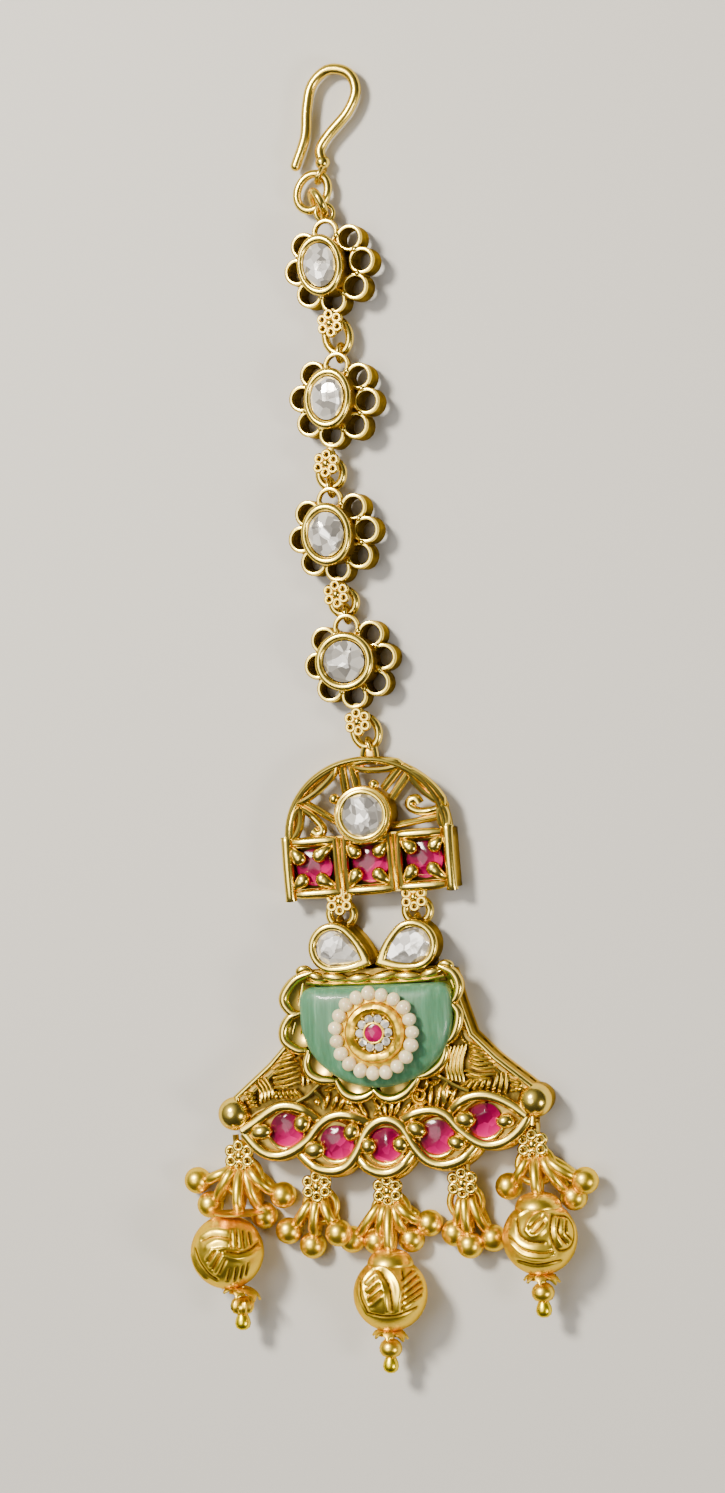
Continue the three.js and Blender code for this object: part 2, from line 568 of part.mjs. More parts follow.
function strand(spray, ball, stagger) {
  const centre = v(...ball);
  const inward = hangPoint(spray, centre).sub(centre).normalize();
  const neck = centre.clone().addScaledVector(inward, BALL_RADIUS * 0.75);
  const bead = new THREE.SphereGeometry(BALL_RADIUS, 6, 4).rotateX(Math.PI / 2).translate(...ball);
  return join([hangLoop(spray, neck, stagger), bead]);
}

// head pin with its disc cap, petal cap, small bead and tip, threaded along -Y through a leaf bead
const PIN_PROFILE = [
  [0, 5.4], [0.6, 4.7], [2.5, 4.5], [2.5, 4.3], [PIN_RADIUS, 4.3], [PIN_RADIUS, -4.3],
  [2.3, -4.7], [2.3, -5.0], [0.7, -5.1], [1.3, -6.1], [0.5, -7.2], [0.8, -8.1], [0, -9.1],
];

const PIN_LOOP_END = 5.1;

function leafBead() {
  const bead = new THREE.SphereGeometry(LEAF_RADIUS, 12, 8);
  const bore = new THREE.CylinderGeometry(PIN_RADIUS + 0.2, PIN_RADIUS + 0.2, LEAF_RADIUS * 3, 6);
  return cut(bead, [bore]);
}

function dropFoot(spray) {
  const { x, y, turn } = spray.leaf;
  const profile = PIN_PROFILE.map(([radius, along]) => new THREE.Vector2(radius, along)).reverse();
  const pin = put(new THREE.LatheGeometry(profile, 6), x, y, LEAF_RADIUS, turn);
  const up = v(0, PIN_LOOP_END).applyAxisAngle(v(0, 0, 1), rad(turn)).add(v(x, y, LEAF_RADIUS));
  return join([pin, hangLoop(spray, up, 0)]);
}

add('fan', fan(), ANTIQUE_GOLD);
['left', 'right'].forEach((name, i) => {
  const side = i * 2 - 1;
  const from = v(CREST_FLORETS[i].x, CREST_FLORETS[i].y - 0.2, EYE_HEIGHT);
  const to = v(side * FAN_EYE.x, FAN_EYE.y, EYE_HEIGHT);
  add(`fan_ring_${name}`, ringBetween(from, to, LINK_BREADTH, RING_WIRE), ANTIQUE_GOLD);
  const pear = new THREE.ExtrudeGeometry(pearShape(PEAR.stone - 0.5, pearReach - 2.3), {
    depth: 0.2, bevelThickness: 0.45, bevelSize: 0.5, bevelSegments: 1, curveSegments: 6,
  });
  add(`pear_stone_${name}`, onPear(pear, side).translate(0, 0, PEAR.top - 0.3), POLKI);
});

// ---------------------------------------------------------------- green stone and pearl rosette
function greenStone() {
  const round = 1.3;
  const bulge = 1.5;
  const whole = new THREE.ExtrudeGeometry(greenShape(round), {
    depth: GREEN_THICK - bulge, bevelThickness: bulge, bevelSize: round, bevelSegments: 2, curveSegments: 7,
  });
  return cut(whole, [block(-20, 20, 0, 20, -5, 0)]);
}

const GREEN_BASE = FAN_TOP + SEAT_GAP;
const ROSETTE_BASE = GREEN_BASE + GREEN_THICK + SEAT_GAP;
const BOSS_PROFILE = [
  [0, 0.2], [4.2, 0.2], [4.2, 0.5], [BOSS_RADIUS, 0.5], [BOSS_RADIUS, 1.2],
  [2.8, 1.7], [1.1, 1.4], [0, 2.1],
];

// a string of seed pearls as one ring that swells at each pearl, round a stamped boss
function rosette() {
  const string = new THREE.TorusGeometry(PEARL_CIRCLE, PEARL_RADIUS, 4, PEARLS * 2);
  const place = string.attributes.position;
  for (let i = 0; i < place.count; i += 1) {
    const angle = Math.atan2(place.getY(i), place.getX(i));
    const step = Math.round((angle / Math.PI) * PEARLS);
    if (step % 2) {
      const core = v(Math.cos(angle), Math.sin(angle)).multiplyScalar(PEARL_CIRCLE);
      const shrunk = v(place.getX(i), place.getY(i), place.getZ(i)).lerp(core, 0.45);
      place.setXYZ(i, shrunk.x, shrunk.y, shrunk.z);
    }
  }
  const boss = new THREE.LatheGeometry(BOSS_PROFILE.map(([r, z]) => new THREE.Vector2(r, z)), 10);
  return join([string.translate(0, 0, PEARL_RADIUS), boss.rotateX(Math.PI / 2)]);
}

add('green_stone', greenStone().translate(0, 0, GREEN_BASE), GREEN);
add('pearl_rosette', rosette().translate(0, ROSETTE_Y, ROSETTE_BASE), PEARL);
CELLS.forEach((c, i) => {
  add(`border_ruby_${i + 1}`, stone(1.8, 0.9, 8).translate(c.rubyX, c.rubyY, CELL_FLOOR + 0.35), RUBY);
});

SPRAYS.forEach((spray, i) => {
  const start = sprayEye(spray);
  const end = v(spray.x, start.y - 2 * spray.ring, spray.low);
  add(`spray_ring_${i + 1}`, ringBetween(start, end, start.distanceTo(end), SPRAY_WIRE), SATIN_GOLD);
  spray.balls.forEach((ball, j) => {
    const stagger = j % 2 ? LOOP_STAGGER : -LOOP_STAGGER;
    add(`strand_${i + 1}_${j + 1}`, strand(spray, ball, stagger), SATIN_GOLD);
  });
});

SPRAYS.filter((spray) => spray.leaf).forEach((spray, i) => {
  const bead = add(`leaf_bead_${i + 1}`, leafBead(), SATIN_GOLD);
  bead.position.set(spray.leaf.x, spray.leaf.y, LEAF_RADIUS);
  bead.rotation.z = rad(spray.leaf.turn);
  add(`drop_foot_${i + 1}`, dropFoot(spray), SATIN_GOLD);
});

// ---------------------------------------------------------------- origin at the middle of the footprint
const reach = new THREE.Box3().setFromObject(jewel, true);
const middle = reach.getCenter(v(0, 0));
jewel.position.set(-middle.x, -middle.y, -reach.min.z);

export default jewel;
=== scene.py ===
"""A forehead jewel in antique gold: hair hook, flower links, pierced crest and a fan with a green stone.

Everything is shaped in millimetres in the jewel's own frame (x = 0 on the fan's centreline, the chain
along Y, the surface it lies on at z = 0), and is moved into the model's frame when a piece is finished.
"""
import math
import random

import bmesh
import bpy
import numpy
from bmesh.types import BMEdge, BMFace, BMVert
from mathutils import Euler, Matrix, Vector


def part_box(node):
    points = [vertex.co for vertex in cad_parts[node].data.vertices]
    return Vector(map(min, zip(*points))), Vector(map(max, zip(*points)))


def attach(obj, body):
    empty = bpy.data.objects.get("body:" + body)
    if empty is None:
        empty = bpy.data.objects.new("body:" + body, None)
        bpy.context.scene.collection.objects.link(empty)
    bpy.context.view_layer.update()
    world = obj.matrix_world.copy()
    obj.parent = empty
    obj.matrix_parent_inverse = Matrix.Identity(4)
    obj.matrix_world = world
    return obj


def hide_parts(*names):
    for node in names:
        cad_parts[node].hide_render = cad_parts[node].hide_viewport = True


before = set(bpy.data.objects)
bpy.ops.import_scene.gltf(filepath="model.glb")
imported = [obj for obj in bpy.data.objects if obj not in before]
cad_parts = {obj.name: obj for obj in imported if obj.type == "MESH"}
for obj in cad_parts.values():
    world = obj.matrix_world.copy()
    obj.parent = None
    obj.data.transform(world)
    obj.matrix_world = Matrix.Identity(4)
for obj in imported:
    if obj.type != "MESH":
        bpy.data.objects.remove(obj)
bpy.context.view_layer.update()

# ---------------------------------------------------------------- frame and sizes, in millimetres
MM = 0.001
GREEN_TOP = 15.6            # top edge of the green stone
stone_low, stone_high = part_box("green_stone")
TO_MODEL = Matrix.Translation((
    (stone_low.x + stone_high.x) / 2, stone_high.y - GREEN_TOP * MM, 0)) @ Matrix.Scale(MM, 4)

UP = Vector((0, 0, 1))
RING_WIRE = 0.98            # thickness of a jump ring's wire
RING_STEPS = 32
EYE_WIRE = 0.55             # thickness of a standing eye's wire
EYE_RADIUS = 1.0
EYE_HEIGHT = 1.3            # of an eye's middle over the surface
EYE_SHIFT = 0.5             # how far an eye stands from the middle of its floret
LINK_BREADTH = 2.9
HOOK_WIRE = 1.22
HOOK_HEIGHT = 1.6

PETALS = 8
PETAL_CENTRE = 3.95
PETAL_OUTER = 1.6
PETAL_WALL = 0.5
PETAL_EDGE = PETAL_CENTRE + PETAL_OUTER
PETAL_TOP = 2.7
PETAL_LIP = 2.0
GEM_SEAT = 4.3              # where the girdle of a flower's stone lies
FLORET_BASE = 2.2
FLORET_TOP = 3.15
STEM_HEIGHT = 2.3           # flat stems that carry the florets

BAR_HALF = 10.05            # half the breadth of the crest's ruby bar, and its height along the jewel
BAR_HEIGHT = 6.8
ARCH_HALF = 9.3             # half breadth and rise of the half-moon over the bar
ARCH_RISE = 8.55

FAN_SILL = 1.0              # top of the fan's wall under its slots
FAN_SLOT_TOP = 2.2
FAN_BORDER_WALL = 2.7       # top of its wall along the border, and along the wings
FAN_WING_WALL = 3.9
FAN_FLOOR = 3.3             # the wings' ground
LAP = 0.1                   # how far one wall reaches into the next
WEAVE_HEIGHT = 3.85
RIBBON_HEIGHT = 4.15
LOBE_HEIGHT = 4.9
RAIL_HEIGHT = 4.8

BALL_RADIUS = 1.55
LEAF_RADIUS = 4.2
PEARLS = 19
PEARL_CIRCLE = 4.5
PEARL_HEIGHT = 7.85
GREEN_BASE = 4.2
ROSETTE_Y = 10.2

# flower: centre, turn and lean in degrees, floret place, how its top eye reaches out, rises and tilts,
# and how far its cup sits to the right, with the cup's stretch across and along
FLOWERS = [
    dict(x=-0.75, y=98.17, turn=4, lean=6, floret=(-0.6, -6.55), eye=(0.75, 0.5, 60),
         cup=(-0.45, 0.87, 1.12)),
    dict(x=-1.08, y=82.75, turn=-7, lean=6, floret=(-0.3, -7.35), eye=(0, 0, 0), cup=(-0.1, 0.9, 1.11)),
    dict(x=-2.12, y=67.37, turn=4, lean=5, floret=(-0.4, -6.85), eye=(0, 0, 0), cup=(-0.2, 0.96, 1.14)),
    dict(x=-1.21, y=52.69, turn=4, lean=2, floret=(0.1, -7.0), eye=(0, 0, 0), cup=(-0.2, 1.09, 1.07)),
]

HOOK_ROUTE = [
    (-4.7, 110.3), (-3.4, 113.5), (-3.0, 116.8), (-2.2, 119.5), (-0.2, 121.0), (2.1, 120.4),
    (2.9, 118.3), (1.8, 115.9), (-0.6, 113.5), (-1.7, 111.9), (-1.5, 110.4),
]

# ---------------------------------------------------------------- shaping
CLOSE = 1e-4                # corners nearer than this are one
SHARP = math.radians(38)


def solder(work, part, patina_and_shade=0.0, place=None):
    """Adds a small shape to a piece. patina is how dark the shape is painted, a number or a function of a
    corner's place: the gold's patina together with painted shade, and a ruby's painted glow.
    """
    tone = part.verts.layers.float.new("patina_and_shade")
    for vert in part.verts:
        vert[tone] = patina_and_shade(vert.co) if callable(patina_and_shade) else patina_and_shade
    if place is not None:
        bmesh.ops.transform(part, matrix=place, verts=part.verts)
    moved = bpy.data.meshes.new("part")
    part.to_mesh(moved)
    part.free()
    work.from_mesh(moved)
    bpy.data.meshes.remove(moved)


def bench(*parts):
    """A new piece, soldered from shapes that each come with a patina and a place."""
    work = bmesh.new()
    for part in parts:
        solder(work, *part)
    return work


def above(height, low=0.8, high=0.0):
    """Dark under the height and bright over it: patina together with painted shade on a shape's lower
    parts.
    """
    return lambda place: high if place.z > height else low


def within(radius, inside, outside):
    """One darkness inside a radius about Z and another outside it, painted as patina and shade."""
    return lambda place: inside if place.xy.length < radius else outside


def at(x, y, z=0.0, turn=0.0):
    """The place x, y, z, turned about Z by so many degrees."""
    return Matrix.Translation((x, y, z)) @ Matrix.Rotation(math.radians(turn), 4, "Z")


def round_z(reach, turn, z=0.0):
    """The point at a reach and an angle round Z."""
    return Vector((reach * math.cos(turn), reach * math.sin(turn), z))


def flat(points, z):
    """Points across and along, all at one height."""
    return [Vector((x, y, z)) for x, y in points]


def only(kind, items):
    """The corners, edges or faces among what an operator gives back."""
    return [item for item in items if isinstance(item, kind)]


def arc(x, y, a, b, start, end, steps, z=0.0):
    """Points along an elliptical arc, from start to end in degrees."""
    turns = [math.radians(start + (end - start) * i / steps) for i in range(steps + 1)]
    return [Vector((x + a * math.cos(t), y + b * math.sin(t), z)) for t in turns]


def oval(middle, long, wide):
    """Points round an oval with the half axes long and wide."""
    turns = [math.tau * i / RING_STEPS for i in range(RING_STEPS)]
    return [middle + long * math.cos(t) + wide * math.sin(t) for t in turns]


def smooth(points, steps=5):
    """A smooth run through a few given points."""
    points = [Vector(p) for p in points]
    ends = [2 * points[0] - points[1], *points, 2 * points[-1] - points[-2]]
    run = []
    for before, a, b, after in zip(ends, ends[1:], ends[2:], ends[3:]):
        for i in range(steps):
            t = i / steps
            run.append(0.5 * (2 * a + (b - before) * t + (2 * before - 5 * a + 4 * b - after) * t * t
                              + (3 * a - before - 3 * b + after) * t ** 3))
    return [*run, points[-1]]


def wire(route, size, sides=10, closed=False, up=UP):
    """A closed wire along the route. size is its half width and half height, or a function of 0 to 1."""
    part = bmesh.new()
    count = len(route)
    stations = []
    for i, place in enumerate(route):
        before = route[i - 1] if closed or i else route[0]
        after = route[(i + 1) % count] if closed or i < count - 1 else route[-1]
        along = (after - before).normalized()
        across = along.cross(up).normalized()
        rise = across.cross(along)
        half = size(i / (count - 1)) if callable(size) else size
        wide, high = half if isinstance(half, tuple) else (half, half)
        stations.append(Matrix((
            (*(across * wide), 0), (*(rise * high), 0), (*along, 0), (*place, 1))).transposed())
    if closed:
        stations.append(stations[0])
    bmesh.ops.create_circle(part, segments=sides, radius=1, matrix=stations[0])
    first = rim = list(part.edges)
    for last, new in zip(stations, stations[1:]):
        grown = bmesh.ops.extrude_edge_only(part, edges=rim)["geom"]
        rim = only(BMEdge, grown)
        bmesh.ops.transform(part, matrix=new @ last.inverted(), verts=only(BMVert, grown))
    if closed:
        bmesh.ops.remove_doubles(part, verts=part.verts, dist=CLOSE)
    else:
        for edges in (first, rim):
            bmesh.ops.contextual_create(part, geom=edges)
    bmesh.ops.recalc_face_normals(part, faces=part.faces)
    return part


def tapered(thick, thin, power=1.0):
    """Half width and height of a wire that is thick in its middle and thin at both ends."""
    def size(t):
        swell = math.sin(math.pi * t) ** power
        return tuple(b + (a - b) * swell for a, b in zip(thick, thin))
    return size


def turned(profile, steps=32, closed=False):
    """A shape turned about Z. Its profile of radius and height is on the axis at both ends or is closed."""
    part = bmesh.new()
    verts = [part.verts.new((radius, 0, z)) for radius, z in profile]
    edges = [part.edges.new(pair) for pair in zip(verts, verts[1:])]
    if closed:
        edges.append(part.edges.new((verts[-1], verts[0])))
    bmesh.ops.spin(part, geom=verts + edges, cent=(0, 0, 0), axis=(0, 0, 1), dvec=(0, 0, 0),
                   angle=math.tau, steps=steps, use_merge=True)
    bmesh.ops.remove_doubles(part, verts=part.verts, dist=CLOSE)
    bmesh.ops.recalc_face_normals(part, faces=part.faces)
    return part


def ball(radius, squash=(1, 1, 1), segments=16):
    """A granule or a bead, round or squashed along its axes."""
    part = bmesh.new()
    bmesh.ops.create_uvsphere(part, u_segments=segments, v_segments=segments * 5 // 8, radius=radius)
    bmesh.ops.scale(part, vec=squash, verts=part.verts)
    return part


def ease_front(part, high, ease, steps):
    """Rounds the edges between the top at the height and the walls under it."""
    front = [e for e in part.edges if all(abs(v.co.z - high) < CLOSE for v in e.verts)
             and len(e.link_faces) == 2 and abs(e.calc_face_angle(0)) > 1]
    bmesh.ops.bevel(part, geom=front, offset=ease, segments=steps, profile=0.5, affect="EDGES", material=-1)


def plate(outline, low, high, ease=0.0, steps=2):
    """A flat plate with the outline, from low to high, its front edge eased."""
    part = bmesh.new()
    face = part.faces.new([part.verts.new((p[0], p[1], low)) for p in outline])
    grown = bmesh.ops.extrude_face_region(part, geom=[face])["geom"]
    bmesh.ops.translate(part, vec=(0, 0, high - low), verts=only(BMVert, grown))
    bmesh.ops.recalc_face_normals(part, faces=part.faces)
    if ease:
        ease_front(part, high, ease, steps)
    return part


def block(x0, x1, y0, y1, z0, z1, ease=0.0):
    """A bar between two corners, its front edge eased."""
    return plate([(x0, y0), (x1, y0), (x1, y1), (x0, y1)], z0, z1, ease)


def slice_off(part, point, outward):
    """Takes off all that lies beyond the plane through the point, and closes the cut."""
    cut = bmesh.ops.bisect_plane(part, geom=part.verts[:] + part.edges[:] + part.faces[:], dist=1e-5,
                                 plane_co=point, plane_no=outward, clear_outer=True)["geom_cut"]
    rim = only(BMEdge, cut)
    if rim:
        bmesh.ops.contextual_create(part, geom=rim)


def grind(part, turn, lean, reach, height):
    """One facet. It faces along the turn, leans out by so many degrees, and passes the reach and height."""
    lean = math.radians(lean)
    slice_off(part, round_z(reach, turn, height), round_z(math.sin(lean), turn, math.cos(lean)))


def cut_stone(radius, height, cuts, seed, slope=(20, 55), sides=28):
    """A stone with its girdle at z = 0: a round blank with steep and flat facets at uneven angles."""
    chance = random.Random(seed)
    blank = [(0, -0.3), (radius * 0.9, -0.3), (radius, 0), (radius * 0.97, height), (0, height)]
    part = turned(blank, sides)
    for i in range(2 * cuts):
        turn = math.tau * (i / 2 + chance.uniform(-0.25, 0.25)) / cuts
        if i % 2:
            grind(part, turn, chance.uniform(5, 14), radius * 0.4, height * 0.96)
        else:
            grind(part, turn, chance.uniform(*slope), radius, height * 0.25)
    bmesh.ops.recalc_face_normals(part, faces=part.faces)
    return part


def into_scene(name, data, place=(0, 0, 0)):
    """A new object of the scene."""
    made = bpy.data.objects.new(name, data)
    made.location = place
    bpy.context.scene.collection.objects.link(made)
    return made


def finish(work, name, material, nodes=(), faceted=False):
    """Turns a piece from the bench into an object of the scene that stands for the nodes.

    Nothing of it reaches below the surface that the jewel lies on.
    """
    mesh = bpy.data.meshes.new(name)
    for vert in work.verts:
        vert.co.z = max(vert.co.z, 0)
    bmesh.ops.transform(work, matrix=TO_MODEL, verts=work.verts)
    work.to_mesh(mesh)
    work.free()
    mesh.polygons.foreach_set("use_smooth", [not faceted] * len(mesh.polygons))
    if not faceted:
        mesh.set_sharp_from_angle(angle=SHARP)
    mesh.materials.append(material)
    piece = into_scene(name, mesh)
    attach(piece, "root")
    if nodes:
        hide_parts(*nodes)


def gold_piece(work, name, *nodes):
    finish(work, name, ANTIQUE_GOLD, nodes)


def satin_piece(work, name, *nodes):
    finish(work, name, SATIN_GOLD, nodes)


def polki_piece(work, name, *nodes):
    finish(work, name, POLKI, nodes, faceted=True)


def ruby_piece(work, name, *nodes):
    finish(work, name, RUBY, nodes)


# ---------------------------------------------------------------- finishes
def add_node(tree, kind, inputs=None, **settings):
    """A node with its settings and inputs; an input is a value or another node's output."""
    made = tree.nodes.new(kind)
    for name, value in settings.items():
        setattr(made, name, value)
    for name, value in (inputs or {}).items():
        if hasattr(value, "is_output"):
            tree.links.new(value, made.inputs[name])
        else:
            made.inputs[name].default_value = value
    return made


def new_group(name, inputs, outputs):
    """A shared effect: its tree, what it is given and what it puts out."""
    tree = bpy.data.node_groups.new(name, "ShaderNodeTree")
    for label, kind, value in inputs:
        socket = tree.interface.new_socket(label, in_out="INPUT", socket_type=kind)
        if value is not None:
            socket.default_value = value
    for label, kind in outputs:
        tree.interface.new_socket(label, in_out="OUTPUT", socket_type=kind)
    return tree, tree.nodes.new("NodeGroupInput").outputs, tree.nodes.new("NodeGroupOutput").inputs


def patina_and_shade_group():
    """How dark each place is painted: the patina and painted shade of the shape it belongs to, broken up by
    fine grain.
    """
    tree, given, out = new_group(
        "patina_and_shade", [("Grain Scale", "NodeSocketFloat", 900), ("Grain", "NodeSocketFloat", 0.3)],
        [("Dark", "NodeSocketFloat"), ("Height", "NodeSocketFloat")])
    left = add_node(tree, "ShaderNodeAttribute", attribute_name="patina_and_shade").outputs["Fac"]
    where = add_node(tree, "ShaderNodeTexCoord").outputs["Object"]
    grain = add_node(tree, "ShaderNodeTexNoise", {
        "Vector": where, "Scale": given["Grain Scale"], "Detail": 3.0, "Roughness": 0.6}).outputs["Fac"]
    centred = add_node(tree, "ShaderNodeMath", {0: grain, 1: 0.5}, operation="SUBTRACT").outputs[0]
    wander = add_node(tree, "ShaderNodeMath", {0: centred, 1: given["Grain"]}, operation="MULTIPLY")
    dark = add_node(
        tree, "ShaderNodeMath", {0: left, 1: wander.outputs[0]}, operation="ADD", use_clamp=True)
    tree.links.new(dark.outputs[0], out["Dark"])
    tree.links.new(grain, out["Height"])
    return tree


def facet_group():
    """Flat patches of uneven tone, as the foil behind an uncut stone shows through its facets."""
    tree, given, out = new_group(
        "facets", [("Patch Scale", "NodeSocketFloat", 900)],
        [("Tone", "NodeSocketFloat"), ("Height", "NodeSocketFloat")])
    where = add_node(tree, "ShaderNodeTexCoord").outputs["Object"]
    patches = add_node(tree, "ShaderNodeTexVoronoi", {
        "Vector": where, "Scale": given["Patch Scale"], "Randomness": 1.0}, feature="F1")
    tone = add_node(tree, "ShaderNodeSeparateColor", {"Color": patches.outputs["Color"]})
    tree.links.new(tone.outputs["Red"], out["Tone"])
    tree.links.new(patches.outputs["Distance"], out["Height"])
    return tree


def ramp(tree, factor, *stops):
    """Colours along 0 to 1; each stop is a place and a colour."""
    made = add_node(tree, "ShaderNodeValToRGB", {"Fac": factor})
    while len(made.color_ramp.elements) < len(stops):
        made.color_ramp.elements.new(0.5)
    for element, (place, color) in zip(made.color_ramp.elements, stops):
        element.position = place
        element.color = (*color, 1)
    return made.outputs["Color"]


def bump(tree, height, strength, distance):
    """The surface tipped by a height, with the distance in metres."""
    made = add_node(tree, "ShaderNodeBump", {"Height": height, "Strength": strength, "Distance": distance})
    return made.outputs["Normal"]


def new_material(name, **constants):
    """A material with plain values set on its shader: itself, its tree and the shader's sockets."""
    material = bpy.data.materials.new(name)
    material.use_nodes = True
    shader = material.node_tree.nodes["Principled BSDF"]
    for label, value in constants.items():
        shader.inputs[label.replace("_", " ")].default_value = value
    return material, material.node_tree, shader.inputs


def place_group(tree, group, **inputs):
    """A shared effect in a material, with the material's own values."""
    made = tree.nodes.new("ShaderNodeGroup")
    made.node_tree = group
    for label, value in inputs.items():
        made.inputs[label.replace("_", " ")].default_value = value
    return made.outputs


PATINA_AND_SHADE = patina_and_shade_group()
FACETS = facet_group()


def gold(name, bright, half_dark, dark, polish, dull, grain, bump_height):
    """Cast gold: polished high parts, with brown patina and painted shade darkening the recesses and lower
    parts.
    """
    material, tree, sockets = new_material(name, Metallic=1.0, Specular_Tint=(0.92, 0.68, 0.32, 1))
    darkening = place_group(tree, PATINA_AND_SHADE, Grain_Scale=grain, Grain=0.45)
    color = ramp(tree, darkening["Dark"], (0.0, bright), (0.35, half_dark), (0.8, dark))
    rough = ramp(tree, darkening["Dark"], (0.0, (polish,) * 3), (0.7, (dull,) * 3))
    tree.links.new(color, sockets["Base Color"])
    tree.links.new(rough, sockets["Roughness"])
    tree.links.new(bump(tree, darkening["Height"], 0.35, bump_height), sockets["Normal"])
    return material


ANTIQUE_GOLD = gold("antique gold", (0.95, 0.71, 0.13), (0.60, 0.41, 0.08), (0.05, 0.03, 0.006),
                    0.2, 0.45, 1100, 0.00003)
SATIN_GOLD = gold("satin gold", (1.0, 0.70, 0.065), (0.66, 0.40, 0.028), (0.05, 0.025, 0.003),
                  0.31, 0.5, 2600, 0.00002)
TIP_GOLD = gold("bright tip gold", (0.95, 0.74, 0.02), (0.9, 0.55, 0.02), (0.4, 0.2, 0.01),
                0.3, 0.3, 1500, 0.00001)


def foiled_stone(name, scale, depth, stops, metallic, roughness):
    """A stone over foil. Its tone, kept in the patina attribute, is broken up by facets; depth is by how
    much. In a ruby this tone is a painted glow, the light that passes through it painted in.
    """
    material, tree, sockets = new_material(
        name, Metallic=metallic, Roughness=roughness, Specular_IOR_Level=0.28,
        Coat_Weight=0.2, Coat_Roughness=0.04)
    patch = place_group(tree, FACETS, Patch_Scale=scale)
    glow = add_node(tree, "ShaderNodeAttribute", attribute_name="patina_and_shade").outputs["Fac"]
    broken = add_node(
        tree, "ShaderNodeMath", {0: patch["Tone"], 1: depth, 2: glow}, operation="MULTIPLY_ADD")
    tree.links.new(ramp(tree, broken.outputs[0], *stops), sockets["Base Color"])
    tree.links.new(bump(tree, patch["Height"], 0.25, 0.0001), sockets["Normal"])
    return material


POLKI = foiled_stone("uncut white stone", 1000, 1.0, [
    (0.0, (0.20, 0.19, 0.18)), (0.4, (0.48, 0.46, 0.43)), (0.75, (0.95, 0.93, 0.90))], 0.5, 0.14)
RUBY = foiled_stone("ruby", 900, 0.35, [
    (0.0, (0.05, 0.0, 0.01)), (0.45, (0.18, 0.0, 0.038)), (0.95, (0.64, 0.0, 0.175))], 0.0, 0.13)


def green_material():
    """Milky green stone with pale fibres that run along the fan."""
    material, tree, sockets = new_material(
        "green stone", Roughness=0.36, Specular_IOR_Level=0.22, Coat_Weight=0.15, Coat_Roughness=0.03,
        Subsurface_Weight=0.35, Subsurface_Scale=0.002)
    where = add_node(tree, "ShaderNodeTexCoord").outputs["Object"]
    stretched = add_node(tree, "ShaderNodeMapping", {"Vector": where, "Scale": (1.0, 0.07, 1.0)})
    fibres = add_node(tree, "ShaderNodeTexNoise", {
        "Vector": stretched.outputs[0], "Scale": 1700.0, "Detail": 4.0, "Roughness": 0.65}).outputs["Fac"]
    color = ramp(tree, fibres, (0.3, (0.055, 0.165, 0.085)), (0.55, (0.085, 0.235, 0.13)),
                 (0.8, (0.20, 0.40, 0.25)))
    tree.links.new(color, sockets["Base Color"])
    return material


def pearl_material():
    """Cream pearl, each darkened by a random amount that its patina attribute holds."""
    material, tree, sockets = new_material(
        "seed pearl", Roughness=0.28, Coat_Weight=0.8, Coat_Roughness=0.08,
        Subsurface_Weight=0.3, Subsurface_Scale=0.0006)
    darkening = place_group(tree, PATINA_AND_SHADE, Grain_Scale=500, Grain=0.5)
    color = ramp(tree, darkening["Dark"], (0.0, (0.90, 0.79, 0.50)), (0.5, (0.72, 0.58, 0.33)),
                 (1.0, (0.40, 0.28, 0.12)))
    tree.links.new(color, sockets["Base Color"])
    return material


GREEN = green_material()
PEARL = pearl_material()


# ---------------------------------------------------------------- rings, eyes and florets
def ring_between(start, end, breadth, thick, tilt=0.0):
    """An oval wire ring through two points, tilted about the line between them."""
    along = (end - start).normalized()
    across = Vector((-along.y, along.x, 0)).normalized()
    across.rotate(Matrix.Rotation(math.radians(tilt), 3, along))
    route = oval((start + end) / 2, along * (end - start).length / 2, across * breadth / 2)
    return wire(route, thick / 2, 12, closed=True, up=along.cross(across))


def eye(place, turn=0.0, tilt=0.0):
    """A standing eye whose hole faces X, then turned about Z."""
    ring = turned([(EYE_RADIUS + EYE_WIRE / 2 * math.cos(t), EYE_WIRE / 2 * math.sin(t))
                   for t in (math.tau * i / 10 for i in range(10))], 24, closed=True)
    stand = Matrix.Rotation(math.radians(90 - tilt), 4, "Y")
    bmesh.ops.transform(ring, matrix=at(*place, turn) @ stand, verts=ring.verts)
    return ring


def ring_wall(inner, outer, low, high, steps=20):
    """A standing wall in a ring, its front edge rounded."""
    ease = (outer - inner) * 0.4
    side, edge = ease * 0.45, high - ease * 0.25
    return turned([
        (inner, low), (outer, low), (outer, high - ease * 2), (outer, high - ease), (outer - side, edge),
        ((inner + outer) / 2, high), (inner + side, edge), (inner, high - ease), (inner, high - ease * 2),
    ], steps, closed=True)


def add_floret(work, x, y, place=Matrix(), grown=1.1):
    """Six wire ringlets round a granule, on a small disc painted half dark, as the shade seen between the
    ringlets.
    """
    here = place @ at(x, y) @ Matrix.Diagonal((grown, grown, 1, 1))
    solder(work, turned([(0, FLORET_BASE), (1.2, FLORET_BASE), (1.2, 2.55), (0, 2.55)], 18), 0.5, here)
    profile = [(0.39 + 0.23 * math.cos(t), FLORET_TOP - 0.25 + 0.3 * math.sin(t))
               for t in (math.tau * i / 10 for i in range(10))]
    for i in range(6):
        ringlet = here @ Matrix.Translation(round_z(0.93, math.radians(60 * i + 30), 0.1 * (i % 2)))
        solder(work, turned(profile, 16, closed=True), above(2.85, 0.5), ringlet)
    solder(work, ball(0.48, segments=12), 0.0, here @ at(0, 0, 3.0))


def add_stems(work, x, start, end, shift, size, spread=1.0):
    """Two flat stems side by side that carry a floret; start and end are places along and up."""
    for side in (-shift, shift):
        stem = [Vector((x + side, *start)), Vector((x + side * spread, *end))]
        solder(work, wire(stem, size, 10), 0.25)


